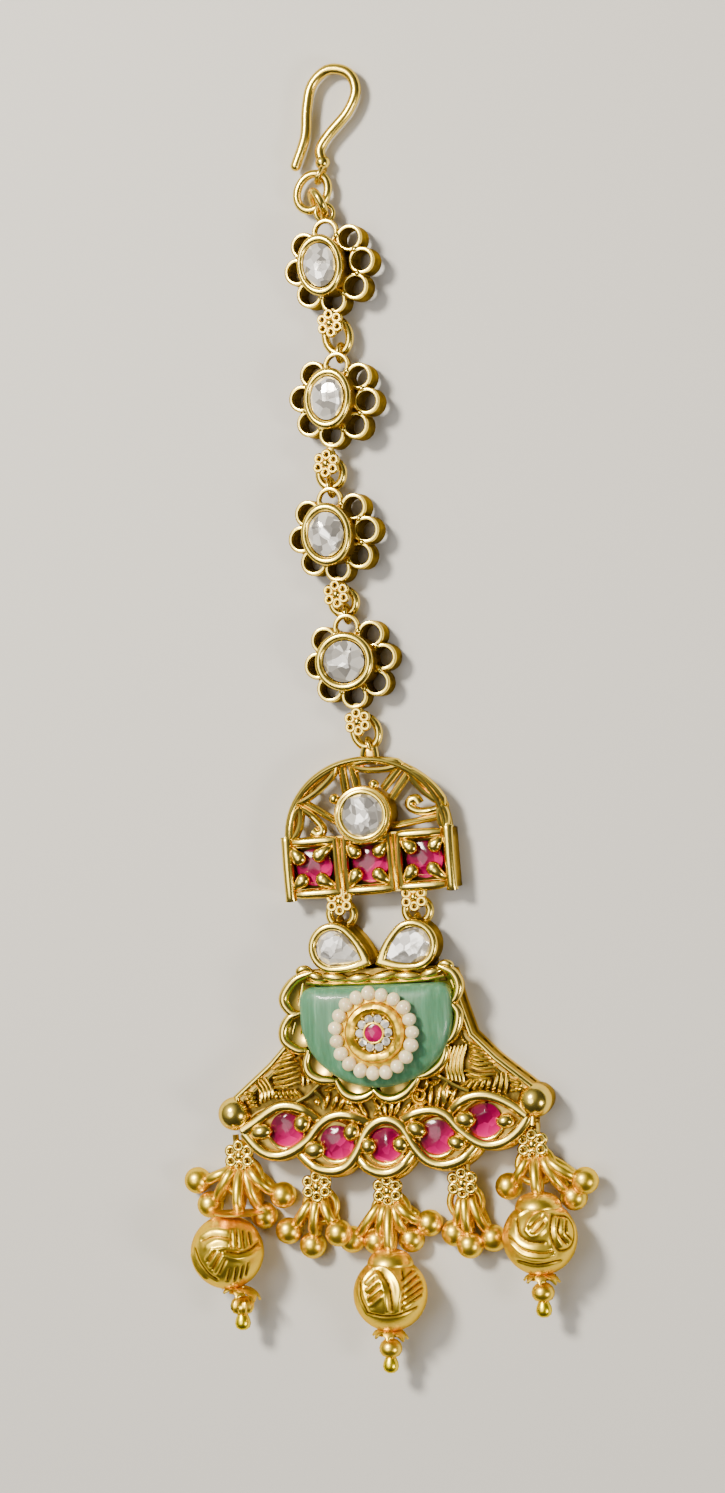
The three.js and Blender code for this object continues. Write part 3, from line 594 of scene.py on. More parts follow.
# ---------------------------------------------------------------- flower links
def flower_matrix(flower):
    """Where a flower lies: it leans up from its left petal."""
    lean = Matrix.Rotation(-math.radians(flower["lean"]), 4, "Y")
    return at(flower["x"], flower["y"], 0, flower["turn"]) @ at(-PETAL_EDGE, 0) @ lean @ at(PETAL_EDGE, 0)


def top_eye(flower):
    out, rise, _ = flower["eye"]
    return Vector((0, PETAL_EDGE + out, EYE_HEIGHT + rise))


def bottom_eye(flower):
    x, y = flower["floret"]
    return Vector((x, y + EYE_SHIFT, EYE_HEIGHT))


def cup_place(flower):
    shift, across, along = flower["cup"]
    return flower_matrix(flower) @ at(shift, 0) @ Matrix.Diagonal((across, along, 1, 1))


CUP_PROFILE = [
    (0, 0), (2.9, 0), (2.9, 1.7), (3.05, 2.1), (3.12, 3.9), (3.18, 4.4), (3.14, 4.62), (3.02, 4.78),
    (2.85, 4.87), (2.66, 4.88), (2.5, 4.8), (2.4, 4.66), (2.34, 4.52), (2.28, 4.46), (2.22, 4.1), (0, 4.1),
]


def bezel_shade(well, lip):
    """Dark in the well under the stone as painted shade, half dark on the side, bright over the lip."""
    return lambda place: 0.9 if place.xy.length < well else above(lip, 0.5)(place)


def petal_ring(work, flower):
    """Eight pierced ring petals, with a granule and a strut where two of them meet."""
    lean = flower_matrix(flower)
    for i in range(PETALS):
        low = 0.0 if i else PETAL_LIP
        petal = ring_wall(PETAL_OUTER - PETAL_WALL, PETAL_OUTER, low, PETAL_TOP, 24)
        turn = lean @ at(0, 0, 0, 90 + 360 * i / PETALS)
        solder(work, petal, above(2.4, 0.7), turn @ at(PETAL_CENTRE, 0))
        between = lean @ at(0, 0, 0, 90 + 360 * (i + 0.5) / PETALS)
        solder(work, ball(0.36, (1.2, 0.9, 0.8), 10), 0.0, between @ at(3.6, 0, 2.6))
        solder(work, wire([Vector((2.9, 0, 1.3)), Vector((4.3, 0, 1.3))], (0.3, 1.25), 8), 0.5, between)


def flower_gold(number, flower):
    work = bmesh.new()
    lean = flower_matrix(flower)
    petal_ring(work, flower)
    solder(work, turned(CUP_PROFILE, 44), bezel_shade(2.3, 4.3), cup_place(flower))
    x, y = flower["floret"]
    strut = wire([Vector((x * 0.5, -4.9, 2.25)), Vector((x, y, 2.25))], (0.5, 0.3), 8)
    solder(work, strut, 0.2, lean)
    add_floret(work, x, y, lean)
    solder(work, eye(top_eye(flower), 0, flower["eye"][2]), 0.1, lean)
    solder(work, eye(bottom_eye(flower)), 0.1, lean)
    gold_piece(work, f"flower_{number}_gold", f"flower_{number}")


def flower_stone(number, flower):
    gem = cut_stone(2.24, 0.95, 9, number)
    work = bench((gem, 0.0, cup_place(flower) @ at(0, 0, GEM_SEAT)))
    polki_piece(work, f"flower_{number}_polki", f"flower_stone_{number}")


# ---------------------------------------------------------------- hook and rings
HOOK_EYE = Vector((-1.8, 109.0, HOOK_HEIGHT))
UPPER_RING_FOOT = Vector((-4.0, 105.2, HOOK_HEIGHT))
LOWER_RING_HEAD = Vector((-3.0, 106.8, HOOK_HEIGHT))


def hair_hook():
    """A teardrop of wire with a blunt tip, and a knuckle over its eye."""
    route = smooth(flat(HOOK_ROUTE, HOOK_HEIGHT), 6)
    gold_piece(bench(
        (wire(route, HOOK_WIRE / 2, 14), 0.1),
        (ball(0.85, segments=18), 0.0, at(*route[-1])),
        (ball(HOOK_WIRE / 2, segments=14), 0.1, at(*route[0])),
        (eye(HOOK_EYE, -28), 0.1)), "hook_wire", "hook")


def jump_ring(name, start, end, breadth, tilt=0.0):
    gold_piece(bench((ring_between(start, end, breadth, RING_WIRE, tilt), 0.05)), f"{name}_wire", name)


def hook_rings():
    first = FLOWERS[0]
    jump_ring("hook_ring_upper", HOOK_EYE, UPPER_RING_FOOT, 3.5)
    jump_ring("hook_ring_lower", LOWER_RING_HEAD, flower_matrix(first) @ top_eye(first), 3.2, 66)


def link_rings():
    ends = [flower_matrix(f) @ top_eye(f) for f in FLOWERS[1:]] + [BAIL]
    for i, (flower, end) in enumerate(zip(FLOWERS, ends), 1):
        start = flower_matrix(flower) @ bottom_eye(flower)
        jump_ring(f"link_ring_{i}", start, end, LINK_BREADTH, flower["lean"])


# ---------------------------------------------------------------- crest
BAIL = Vector((0.25, 42.8, EYE_HEIGHT))
CREST_PLACE = at(-0.3, 26.0, 0, 1.5)
BEZEL_Y = 9.0
CREST_RUBIES = [(-6.6, 3.45), (0.05, 3.35), (6.5, 3.4)]
CREST_FLORETS = [(-4.15, 25.2), (4.67, 25.3)]
SEPARATORS = [-3.2, 3.15]

# leaf bars under the arch: start, end and half breadth
LEAF_BARS = [
    ((-8.75, 6.9), (-7.7, 10.4), 0.5), ((-8.0, 10.9), (-2.9, 14.6), 0.55),
    ((-1.0, 14.65), (4.8, 14.5), 0.55), ((5.5, 13.7), (9.4, 9.6), 0.6), ((9.0, 9.4), (9.2, 6.9), 0.45),
]
STRUTS = [
    ((-2.4, 14.8), (-2.1, 11.6)), ((-1.15, 14.7), (-0.75, 12.2)),
    ((4.6, 14.3), (2.3, 11.8)), ((5.6, 13.6), (3.2, 10.7)),
]
SCROLLS = [
    [(-7.8, 10.5), (-6.4, 9.4), (-5.4, 8.2), (-5.25, 7.5), (-5.8, 7.15), (-6.4, 7.6)],
    [(9.7, 9.6), (8.0, 8.95), (6.4, 8.9), (5.3, 9.5), (5.4, 10.2), (6.1, 10.35), (6.4, 9.8)],
]
LONG_WIRES = [((-7.2, 11.0), (-3.3, 8.35)), ((9.7, 8.3), (3.0, 7.45)), ((8.9, 7.0), (9.2, 8.4))]
CREST_GRAINS = [(1.5, 12.35), (-3.3, 11.1)]
BEZEL_PROFILE = [
    (0, 0.6), (3.3, 0.6), (3.35, 3.0), (3.4, 4.0), (3.36, 4.35), (3.2, 4.54), (3.0, 4.58), (2.92, 4.52),
    (2.84, 4.58), (2.6, 4.6), (2.44, 4.5), (2.38, 4.2), (2.34, 3.8), (0, 3.8),
]
LACE_HEIGHT = 2.5


def crest_solder(work, part, patina_and_shade=0.0, place=Matrix()):
    """Solders a shape that is given in the crest's own place, with the middle of the bar's foot at 0, 0."""
    solder(work, part, patina_and_shade, CREST_PLACE @ place)


def arch_route(z):
    """Up one side of the half-moon, over it and down the other, at one height."""
    side = [Vector((ARCH_HALF, 0.4 + i * (BAR_HEIGHT - 0.4) / 5, z)) for i in range(5)]
    top = arc(0, BAR_HEIGHT, ARCH_HALF, ARCH_RISE, 0, 180, 36, z)
    return side + top + [Vector((-p.x, p.y, z)) for p in reversed(side)]


def leaf_bar(start, end, half_breadth, z):
    """A slim pointed leaf with a slit down its middle."""
    a, b = Vector((*start, z)), Vector((*end, z))
    along = b - a
    across = Vector((-along.y, along.x, 0)).normalized() * half_breadth

    def edge(share, side):
        return a + along * share + across * side * math.sin(math.pi * share) ** 0.6
    there = [edge(i / 12, 1) for i in range(12)]
    back = [edge(i / 12, -1) for i in range(12, 0, -1)]
    return wire(there + back, (0.42, 0.6), 10, closed=True)


def crest_rim(work):
    """The arch's side wall: a front rail, a back rail and posts, with open slots between them."""
    crest_solder(work, wire(arch_route(3.05), (0.4, 0.45), 10))
    crest_solder(work, wire(arch_route(0.45), (0.36, 0.45), 10), 0.1)
    run = arch_route(1.8)
    for foot in run[2:-2:3]:
        post = wire([foot - UP * 1.4, foot + UP * 1.3], (0.34, 0.3), 8, up=Vector((0, 1, 0)))
        # the posts are painted darker, as the shade they stand in
        crest_solder(work, post, 0.4)


def crest_lace(work):
    """Leaves, struts, scrolls and granules in the half-moon, round the bezel of its stone."""
    low = above(2.3, 0.35)
    for start, end, half_breadth in LEAF_BARS:
        crest_solder(work, leaf_bar(start, end, half_breadth, 2.85), above(2.9, 0.5))
    for ends in STRUTS:
        crest_solder(work, wire(flat(ends, LACE_HEIGHT), (0.52, 0.62), 10), low)
    for route in SCROLLS:
        crest_solder(work, wire(smooth(flat(route, 2.6), 6), lambda t: (0.42 + 0.2 * t, 0.6), 12), low)
    for ends in LONG_WIRES:
        crest_solder(work, wire(flat(ends, LACE_HEIGHT), (0.44, 0.58), 10), low)
    for x, y in CREST_GRAINS:
        crest_solder(work, ball(0.62, segments=14), 0.0, at(x, y, 3.6))
    crest_solder(work, turned(BEZEL_PROFILE, 48), bezel_shade(2.38, 4), at(0, BEZEL_Y))


# the four prongs of each ruby, from its centre: the round end of each, and which corner it comes from
PRONGS = [
    [(-1.75, 1.3, -1, 1), (1.0, 1.5, 1, 1), (-1.5, -1.65, -1, -1), (1.2, -1.7, 1, -1)],
    [(-1.75, 1.7, -1, 1), (1.55, 1.6, 1, 1), (-1.8, -1.3, -1, -1), (1.25, -1.45, 1, -1)],
    [(-1.6, 1.7, -1, 1), (1.65, 1.75, 1, 1), (-1.65, -1.4, -1, -1), (1.25, -1.3, 1, -1)],
]
BAR_WALL = 1.0
BAR_TOP = 2.9
# the ridge on each end of the bar: places along the end, and heights
BAR_END = [
    (-0.2, 3.0), (0.4, 3.15), (BAR_HEIGHT / 2, 3.3), (BAR_HEIGHT - 0.4, 3.15), (BAR_HEIGHT + 0.2, 3.0),
]


def prong(work, ruby, x, y, side_x, side_y):
    """A teardrop of metal pushed over the ruby from a corner of its cell."""
    start = Vector((ruby[0] + 2.35 * side_x, ruby[1] + 2.3 * side_y, 2.9))
    end = Vector((ruby[0] + x * 0.86, ruby[1] + y * 0.86, 3.35))
    route = [start.lerp(end, i / 7) + UP * 0.3 * math.sin(math.pi * i / 7) for i in range(8)]
    crest_solder(work, wire(route, lambda t: (0.36 + 0.46 * t, 0.38 + 0.27 * t), 14))
    crest_solder(work, ball(0.84, (1, 1, 0.8), 20), 0.0, at(*end))


def crest_bar(work):
    """The bar of three rubies: walls, rails, fluted separators and four prongs in each cell."""
    # the floor under the rubies is painted almost black, as patina and painted shade
    crest_solder(work, block(-BAR_HALF + 0.7, BAR_HALF - 0.7, 0.6, BAR_HEIGHT - 0.6, 1.0, 1.9), 0.95)
    for y in (0.0, BAR_HEIGHT - BAR_WALL):
        side = block(-BAR_HALF, BAR_HALF, y, y + BAR_WALL, 0.0, BAR_TOP)
        crest_solder(work, side, above(2.0, 0.6, 0.3))
    for x in (-BAR_HALF, BAR_HALF - BAR_WALL):
        crest_solder(work, block(x, x + BAR_WALL, 0, BAR_HEIGHT, 0.0, BAR_TOP, 0.15), above(2.0, 0.6, 0.2))
        ridge = [Vector((x + BAR_WALL / 2, y, z)) for y, z in BAR_END]
        crest_solder(work, wire(smooth(ridge, 4), lambda t: (0.6 + 0.14 * (2 * t - 1) ** 6, 0.5), 14))
    stops = [-BAR_HALF + 0.9, *SEPARATORS, BAR_HALF - 0.9]
    for x0, x1 in zip(stops, stops[1:]):
        for y, z in ((0.4, 3.15), (BAR_HEIGHT - 0.4, 3.1)):
            run = [Vector((x0 + (x1 - x0) * (0.06 + 0.88 * i / 8), y, z)) for i in range(9)]
            crest_solder(work, wire(run, tapered((0.6, 0.55), (0.36, 0.3), 0.4), 12))
    for x in SEPARATORS:
        for shift, size in ((-0.62, 0.36), (0.0, 0.26), (0.62, 0.36)):
            run = [Vector((x + shift, 0.25, 3.0)), Vector((x + shift * 0.85, BAR_HEIGHT / 2, 3.25)),
                   Vector((x + shift, BAR_HEIGHT - 0.25, 3.0))]
            crest_solder(work, wire(smooth(run, 5), (size, 0.5), 10), above(2.9, 0.7))
        # the block under each separator's flutes is painted dark, as the shade between them
        crest_solder(work, block(x - 0.75, x + 0.75, 0.4, BAR_HEIGHT - 0.4, 1.5, 3.0), 0.7)
    for ruby, prongs in zip(CREST_RUBIES, PRONGS):
        for one in prongs:
            prong(work, ruby, *one)


def crest_eye(x, y):
    """The eye under one of the crest's florets."""
    return Vector((x, y - 0.2, EYE_HEIGHT))


def crest_hangers(work):
    """The two florets that carry the fan, and the bail over the arch."""
    for x, y in CREST_FLORETS:
        add_floret(work, x, y)
        add_stems(work, x, (y, STEM_HEIGHT), (26.7, STEM_HEIGHT), 0.4, (0.34, 0.45))
        solder(work, eye(crest_eye(x, y)), 0.1)
    for shift in (-0.75, 0.75):
        x = BAIL.x + shift
        post = [(x, 40.8, 2.3), (x, 41.8, 2.45), (BAIL.x + shift * 0.8, 42.6, 2.2)]
        solder(work, wire(smooth(post, 4), (0.36, 0.45), 10), 0.0)
    solder(work, block(BAIL.x - 0.9, BAIL.x + 0.9, 40.9, BAIL.y - 0.3, 1.9, 2.4, 0.15), 0.3)
    solder(work, eye(BAIL, 20), 0.1)


def crest_gold():
    work = bmesh.new()
    for add_part in (crest_rim, crest_lace, crest_bar, crest_hangers):
        add_part(work)
    gold_piece(work, "crest_gold", "crest")


def painted_ruby_glow(place):
    """Painted light on a foiled ruby: dark where the light goes in, and a painted glow on the far side, low
    on the right.
    """
    return min(max(0.25 + 0.19 * place.x - 0.22 * place.y, 0), 0.8)


def crest_stones():
    gem = cut_stone(2.55, 1.0, 10, 11)
    polki_piece(bench((gem, 0.0, CREST_PLACE @ at(0, BEZEL_Y, 4.0))), "crest_polki", "crest_stone")
    for i, (x, y) in enumerate(CREST_RUBIES, 1):
        gem = cut_stone(2.15, 1.1, 7, 20 + i, (15, 38))
        work = bench((gem, painted_ruby_glow, CREST_PLACE @ at(x, y, 2.2)))
        ruby_piece(work, f"crest_ruby_{i}_gem", f"crest_ruby_{i}")


# ---------------------------------------------------------------- fan
# right half of the fan's outline, from the rail under the pears to the middle of the border
FAN_EDGE = [
    (8.8, 16.9), (9.7, 13.2), (10.8, 9.6), (13.4, 6.9), (17.8, 3.3), (17.2, -1.2), (9.3, -3.4), (3.1, -5.0),
]
FAN_WALL = 1.0
WING_CORNERS = 6            # corners of each half that belong to the wing; the rest lie under the border
# sides of the outline whose wall is slotted, with the shares of the side that stay as posts
SLOT_POSTS = {2: [(0.0, 0.3), (0.7, 1.0)], 3: [(0.0, 0.08), (0.26, 0.42), (0.58, 0.75), (0.92, 1.0)]}
# the two bright wires along each wing: inset, height, corners left out at each end, size and sides
FAN_RIMS = [(0.3, 3.95, 0, (0.36, 0.36), 10), (1.25, 3.9, 1, (0.2, 0.25), 8)]
# upper edge of the border, where the wings' ground ends
BORDER_LINE = [(17.0, 0.2), (7.4, -0.4), (0, -1.0), (-7.6, -0.8), (-17.0, 0.0)]
PEAR_RADIUS = 2.9
PEAR_X, PEAR_Y = 4.7, 20.0
PEAR_TIP = (0.15, 17.95)
PEAR_REACH = math.hypot(PEAR_X - PEAR_TIP[0], PEAR_Y - PEAR_TIP[1])
PEAR_TURN = math.degrees(math.atan2(PEAR_Y - PEAR_TIP[1], PEAR_X - PEAR_TIP[0]))
FAN_EYE = (4.6, 22.3)

# eye-shaped cells of the ribbon border: centre, half length, half height, turn, and where the ruby sits
CELLS = [
    (-12.6, -0.85, 4.4, 3.0, -8, -11.75, -0.75), (-6.1, -2.45, 3.8, 3.3, -14, -5.85, -2.4),
    (0, -3.0, 3.4, 3.2, 0, -0.1, -2.8), (6.1, -2.2, 3.8, 3.2, 12, 6.0, -2.1),
    (12.4, -0.4, 4.3, 3.0, 8, 11.6, -0.3),
]
# ridges of the collar's lobes round the green stone, from its top left corner down and up again
LOBES = [
    [(-7.3, 17.3), (-9.3, 16.6), (-10.6, 15.2), (-10.9, 14.0), (-10.1, 12.8), (-9.1, 12.6)],
    [(-8.95, 12.7), (-10.3, 12.2), (-11.1, 10.9), (-11.0, 9.5), (-9.7, 8.5), (-8.7, 8.3)],
    [(-8.2, 8.4), (-8.65, 6.9), (-8.3, 5.7), (-7.2, 5.0), (-6.2, 4.85), (-5.2, 4.75)],
    [(-5.2, 4.8), (-4.4, 3.4), (-3.2, 2.75), (-1.9, 2.85), (-0.8, 3.5)],
    [(-0.8, 3.5), (0.2, 2.7), (1.4, 2.5), (2.7, 3.0), (3.7, 3.9), (4.4, 4.9)],
    [(4.3, 4.9), (5.8, 5.35), (7.1, 6.3), (7.7, 7.4), (7.85, 8.5)],
    [(7.8, 8.6), (8.8, 9.5), (9.4, 10.9), (9.5, 12.2), (8.8, 13.2)],
    [(8.8, 13.2), (9.45, 14.0), (9.75, 15.3), (9.1, 16.7), (7.7, 17.4)],
]
# the middle of each lobe's bowl and its radius
BOWLS = [
    (-8.8, 14.7, 1.9), (-9.0, 10.6, 1.9), (-7.0, 6.9, 2.0), (-3.2, 4.4, 2.0),
    (1.8, 4.2, 2.0), (6.0, 6.8, 1.8), (7.9, 10.9, 1.7), (8.2, 14.8, 1.6),
]
# leaves of the rail over the green stone: middle, half length and lean in degrees
RAIL_LEAVES = [
    (-6.9, 16.75, 1.3, -18), (-4.7, 16.6, 1.8, -8), (-1.9, 16.4, 1.7, 4),
    (1.0, 16.55, 1.9, 10), (3.9, 16.45, 1.9, -3), (6.5, 16.7, 1.4, 14),
]
RAIL_EDGE = [(-8.1, 16.15), (-6, 15.9), (-3, 15.85), (0, 15.8), (3, 15.85), (6, 16.0), (8.1, 16.3)]
RAIL_CURL = [(7.2, 17.2, 4.8), (8.1, 17.75, 4.9), (8.9, 17.5, 4.9), (8.8, 16.9, 4.8)]
CORNER_BALLS = [(-17.95, 1.2), (17.5, 1.7)]


def fan_outline(inset=0.0):
    """The fan's outline, drawn in by so much all round."""
    points = flat(FAN_EDGE + [(-x, y) for x, y in reversed(FAN_EDGE)], 0)
    if not inset:
        return points
    moved = []
    for i, point in enumerate(points):
        a = (point - points[i - 1]).normalized()
        b = (points[(i + 1) % len(points)] - point).normalized()
        inward = Vector((a.y + b.y, -a.x - b.x, 0)).normalized()
        moved.append(point + inward * inset / max(inward.dot(Vector((a.y, -a.x, 0))), 0.3))
    return moved


def wall_band(outer, inner, low, high, ease=0.0):
    """A wall between two outlines of as many corners, its front edges eased."""
    part = bmesh.new()
    rings = []
    for outline in (outer, inner):
        verts = [part.verts.new((p[0], p[1], low)) for p in outline]
        rings.append([part.edges.new((a, verts[(i + 1) % len(verts)])) for i, a in enumerate(verts)])
    ring = bmesh.ops.bridge_loops(part, edges=rings[0] + rings[1])["faces"]
    shoulder = high - ease * 1.4
    for step, lift in enumerate((shoulder - low, high - shoulder) if ease else (high - low,)):
        below = ring
        grown = bmesh.ops.extrude_face_region(part, geom=ring)["geom"]
        ring = only(BMFace, grown)
        bmesh.ops.translate(part, vec=(0, 0, lift), verts=only(BMVert, grown))
        if step:
            bmesh.ops.delete(part, geom=below, context="FACES_ONLY")
    bmesh.ops.recalc_face_normals(part, faces=part.faces)
    if ease:
        ease_front(part, high, ease, 3)
    return part


def wall_runs(count):
    """Stretches of the side wall between its slots, as places along an outline of so many corners."""
    runs = [[]]
    for i in range(count):
        for start, end in SLOT_POSTS.get(i) or SLOT_POSTS.get(count - 2 - i) or [(0.0, 1.0)]:
            if start > 0:
                runs.append([])
            runs[-1] += [i + end] if runs[-1] else [i + start, i + end]
    runs[0] = [place - count for place in runs.pop()] + runs[0][1:]
    return runs


def fan_shell(work):
    """The hollow cast body: floor, a side wall with open slots, and its bright front rim."""
    outer, inner = fan_outline(), fan_outline(FAN_WALL)
    solder(work, wall_band(outer, inner, 0.0, FAN_SILL), 0.15)
    count = len(outer)

    def between(line, place):
        corner = math.floor(place)
        return line[corner % count].lerp(line[(corner + 1) % count], place % 1)

    def wall(places, low, high, shade):
        outside, inside = ([between(line, place) for place in places] for line in (outer, inner))
        solder(work, plate(outside + inside[::-1], low, high), shade)
    # the posts between the slots are painted dark, as the shade on the side wall, and the walls over them
    # half dark
    for places in wall_runs(count):
        wall(places, FAN_SILL - LAP, FAN_SLOT_TOP + LAP, 0.75)
    wall(range(count - WING_CORNERS, count + WING_CORNERS), FAN_SLOT_TOP, FAN_WING_WALL, 0.5)
    border = [WING_CORNERS - 1 - LAP, *range(WING_CORNERS - 1, count - WING_CORNERS + 1)]
    wall([*border, count - WING_CORNERS + LAP], FAN_SLOT_TOP, FAN_BORDER_WALL, 0.5)
    # the wings' ground is painted dark, as patina and painted shade under the weave
    ground = [p for p in fan_outline(0.3) if p.y > 0] + flat(BORDER_LINE, 0)
    ground.sort(key=lambda p: math.atan2(p.y - 5, p.x))
    solder(work, plate(ground, 2.6, FAN_FLOOR), 0.7)
    for inset, height, skip, size, sides in FAN_RIMS:
        edge = [p + UP * height for p in fan_outline(inset)]
        for run in (edge[skip:WING_CORNERS - skip], edge[count - WING_CORNERS + skip:count - skip]):
            solder(work, wire(run, size, sides))


def collar(work):
    """Scalloped collar round the green stone: hollow bowls edged by thick ridges that meet in points."""
    for x, y, radius in BOWLS:
        bowl = turned([(0, 2.2), (radius, 2.2), (radius, 4.7), (radius * 0.7, 4.3), (0, 4.0)], 24)
        solder(work, bowl, above(4.1, 0.5, 0.25), at(x, y))
    for points in LOBES:
        ridge = wire(smooth(flat(points, LOBE_HEIGHT), 6), tapered((0.6, 0.62), (0.3, 0.45), 0.6), 14)
        solder(work, ridge, above(4.5, 0.5))
        skirt = wire(smooth(flat(points, LOBE_HEIGHT - 1), 4), tapered((0.45, 1.0), (0.3, 0.9), 0.6), 8)
        solder(work, skirt, 0.35)
        solder(work, ball(0.42, segments=10), 0.0, at(*points[-1], LOBE_HEIGHT))


def rail(work):
    """The rail over the green stone: leaves that lap each other on a strip painted dark, as patina and the
    shade between the leaves, curled at its ends.
    """
    solder(work, block(-8.4, 8.3, 15.7, 17.5, 2.0, 4.5, 0.2), 0.7)
    for x, y, half, lean in RAIL_LEAVES:
        tip = round_z(1, math.radians(lean)) * half
        run = [Vector((x, y, RAIL_HEIGHT)) + tip * (t / 4 - 1) for t in range(9)]
        solder(work, wire(run, tapered((0.62, 0.6), (0.1, 0.15), 0.7), 12))
    solder(work, wire(smooth(flat(RAIL_EDGE, RAIL_HEIGHT - 0.1), 4), (0.24, 0.4), 8), 0.1)
    for side in (-1, 1):
        curl = smooth([(side * x, y, z) for x, y, z in RAIL_CURL])
        solder(work, wire(curl, tapered((0.45, 0.45), (0.22, 0.22)), 10))


def pear_outline(radius, reach, steps=30):
    """A drop with full flanks: round at one end, pointed at the other."""
    open_half = math.degrees(math.acos(min(radius / reach, 1))) + 16
    belly = arc(0, 0, radius, radius, 180 + open_half, 540 - open_half, steps)
    tip, start = Vector((-reach, 0, 0)), belly[0]
    pull = start + Vector((start.y, -start.x, 0)).normalized() * (tip - start).length * 0.5
    flank = [tip.lerp(pull, i / 5).lerp(pull.lerp(start, i / 5), i / 5) for i in range(1, 5)]
    return [tip] + flank + belly + [Vector((p.x, -p.y, 0)) for p in reversed(flank)]


def pear_place(side):
    """The place of the left or right pear, its tip at x < 0 before it is turned."""
    return at(side * PEAR_X, PEAR_Y, 0, PEAR_TURN if side > 0 else 180 - PEAR_TURN)


def pear_eye(side):
    return Vector((side * FAN_EYE[0], FAN_EYE[1], EYE_HEIGHT))


def pear_bezel(work, side):
    """A pear cup: a rounded bezel, its well painted dark as shade under the stone, the body under it and
    the eye behind.
    """
    place = pear_place(side)
    outer, inner = pear_outline(PEAR_RADIUS, PEAR_REACH), pear_outline(PEAR_RADIUS - 0.86, PEAR_REACH - 1.5)
    solder(work, wall_band(outer, inner, 2.0, 5.5, 0.36), above(5.05, 0.75), place)
    solder(work, plate(pear_outline(PEAR_RADIUS - 0.4, PEAR_REACH - 0.8), 2.0, 4.6), 0.9, place)
    solder(work, eye(pear_eye(side)), 0.1)
    lower = plate(pear_outline(PEAR_RADIUS - 0.05, PEAR_REACH - 0.1), 0.0, 2.1)
    slice_off(lower, (0.9, 0, 0), (1, 0, 0))
    solder(work, lower, 0.4, place)


def between_arcs(first, last, count):
    """So many arcs spread evenly from the first to the last, each given by three points."""
    for i in range(count):
        yield [Vector(a).lerp(Vector(b), i / (count - 1)) for a, b in zip(first, last)]


# raised wires of the wings' basket weave: the first arc, the last and how many there are
WEAVE = [
    ([(-11.7, 7.9), (-10.9, 8.1), (-10.3, 8.3)], [(-12.5, 7.0), (-11.2, 7.35), (-10.2, 7.7)], 3),
    ([(-13.0, 6.3), (-11.4, 6.75), (-10.0, 7.1)], [(-12.9, 4.15), (-11.3, 4.25), (-9.7, 4.75)], 5),
    ([(-15.3, 5.0), (-14.5, 3.9), (-14.6, 2.3)], [(-13.9, 5.4), (-13.2, 4.2), (-13.2, 2.9)], 4),
    ([(-12.8, 3.75), (-12.75, 3.3), (-12.7, 2.8)], [(-10.5, 3.85), (-10.0, 3.3), (-9.6, 2.8)], 6),
    ([(-16.6, 3.45), (-16.0, 3.65), (-15.3, 3.55)], [(-16.0, 2.0), (-15.5, 2.15), (-15.0, 2.1)], 4),
    ([(-9.6, 7.6), (-9.4, 6.0), (-9.5, 4.2)], [(-8.6, 6.6), (-8.35, 5.5), (-8.2, 4.5)], 3),
    ([(8.2, 8.2), (7.55, 6.1), (7.7, 4.4)], [(10.0, 8.4), (9.35, 6.2), (9.5, 4.1)], 5),
    ([(10.4, 8.6), (11.0, 8.25), (11.8, 8.1)], [(10.2, 6.0), (11.6, 5.55), (13.5, 5.7)], 6),
    ([(9.7, 5.4), (11.4, 4.85), (13.2, 4.9)], [(9.8, 4.9), (11.2, 4.4), (12.6, 4.4)], 2),
    ([(8.9, 3.35), (9.7, 3.85), (10.4, 4.4)], [(12.1, 3.1), (12.4, 3.8), (12.55, 4.5)], 5),
    ([(12.8, 3.0), (13.25, 4.0), (13.5, 5.2)], [(14.2, 2.6), (14.45, 3.8), (14.6, 5.0)], 3),
    ([(14.9, 4.9), (15.7, 4.5), (16.5, 4.2)], [(14.8, 2.9), (15.4, 3.0), (16.0, 3.2)], 4),
]
# ridges that part the wings from the strip over the border
PARTINGS = [
    [(-6.3, 4.9), (-7.5, 4.25), (-8.8, 3.1), (-10.2, 2.4)],
    [(5.6, 5.2), (6.9, 4.7), (8.5, 3.7), (10.0, 3.0)], [(-8.0, 3.6), (-7.3, 2.6), (-7.2, 1.5)],
    [(7.6, 4.2), (7.0, 3.0), (7.2, 1.8)],
]
# leaves of the strip: foot, lean to the left in degrees, length and half breadth
LEAVES = [
    (-7.1, 1.5, -20, 2.0, 0.3), (-6.3, 1.3, -26, 2.2, 0.32), (-5.5, 1.2, -30, 1.9, 0.3),
    (-7.0, 3.6, -75, 1.5, 0.26), (-5.6, 3.9, -100, 1.2, 0.24), (-3.6, 1.0, 32, 1.4, 0.28),
    (-2.8, 0.7, 40, 1.7, 0.3), (-2.1, 0.5, 28, 2.0, 0.3), (-1.3, 0.5, -38, 1.6, 0.28),
    (-0.3, 0.5, 26, 2.1, 0.28), (0.15, 0.5, 8, 2.4, 0.32), (0.65, 0.5, -10, 2.3, 0.32),
    (1.1, 0.5, -27, 2.0, 0.28), (2.0, 0.6, -40, 1.8, 0.3), (2.8, 0.7, -44, 1.8, 0.3),
    (3.5, 0.9, -50, 1.3, 0.26), (5.2, 0.9, -10, 2.9, 0.3), (6.0, 1.1, -16, 2.9, 0.32),
    (6.8, 1.3, -22, 2.6, 0.32), (7.6, 1.6, -30, 2.0, 0.28), (5.3, 4.1, -80, 1.3, 0.24),
    (4.9, 3.3, -18, 1.5, 0.26), (5.8, 3.7, -50, 1.3, 0.24), (-4.4, 3.0, -70, 1.2, 0.24),
]
# granules of the strip with their radii, and the middle of its coil
GRAINS = [
    (-4.15, 2.15, 0.52), (-4.6, 1.1, 0.34), (-1.1, 2.6, 0.32), (4.6, 1.3, 0.34), (-7.9, 2.3, 0.4),
    (7.9, 2.9, 0.4),
]
COIL = (4.2, 2.75)


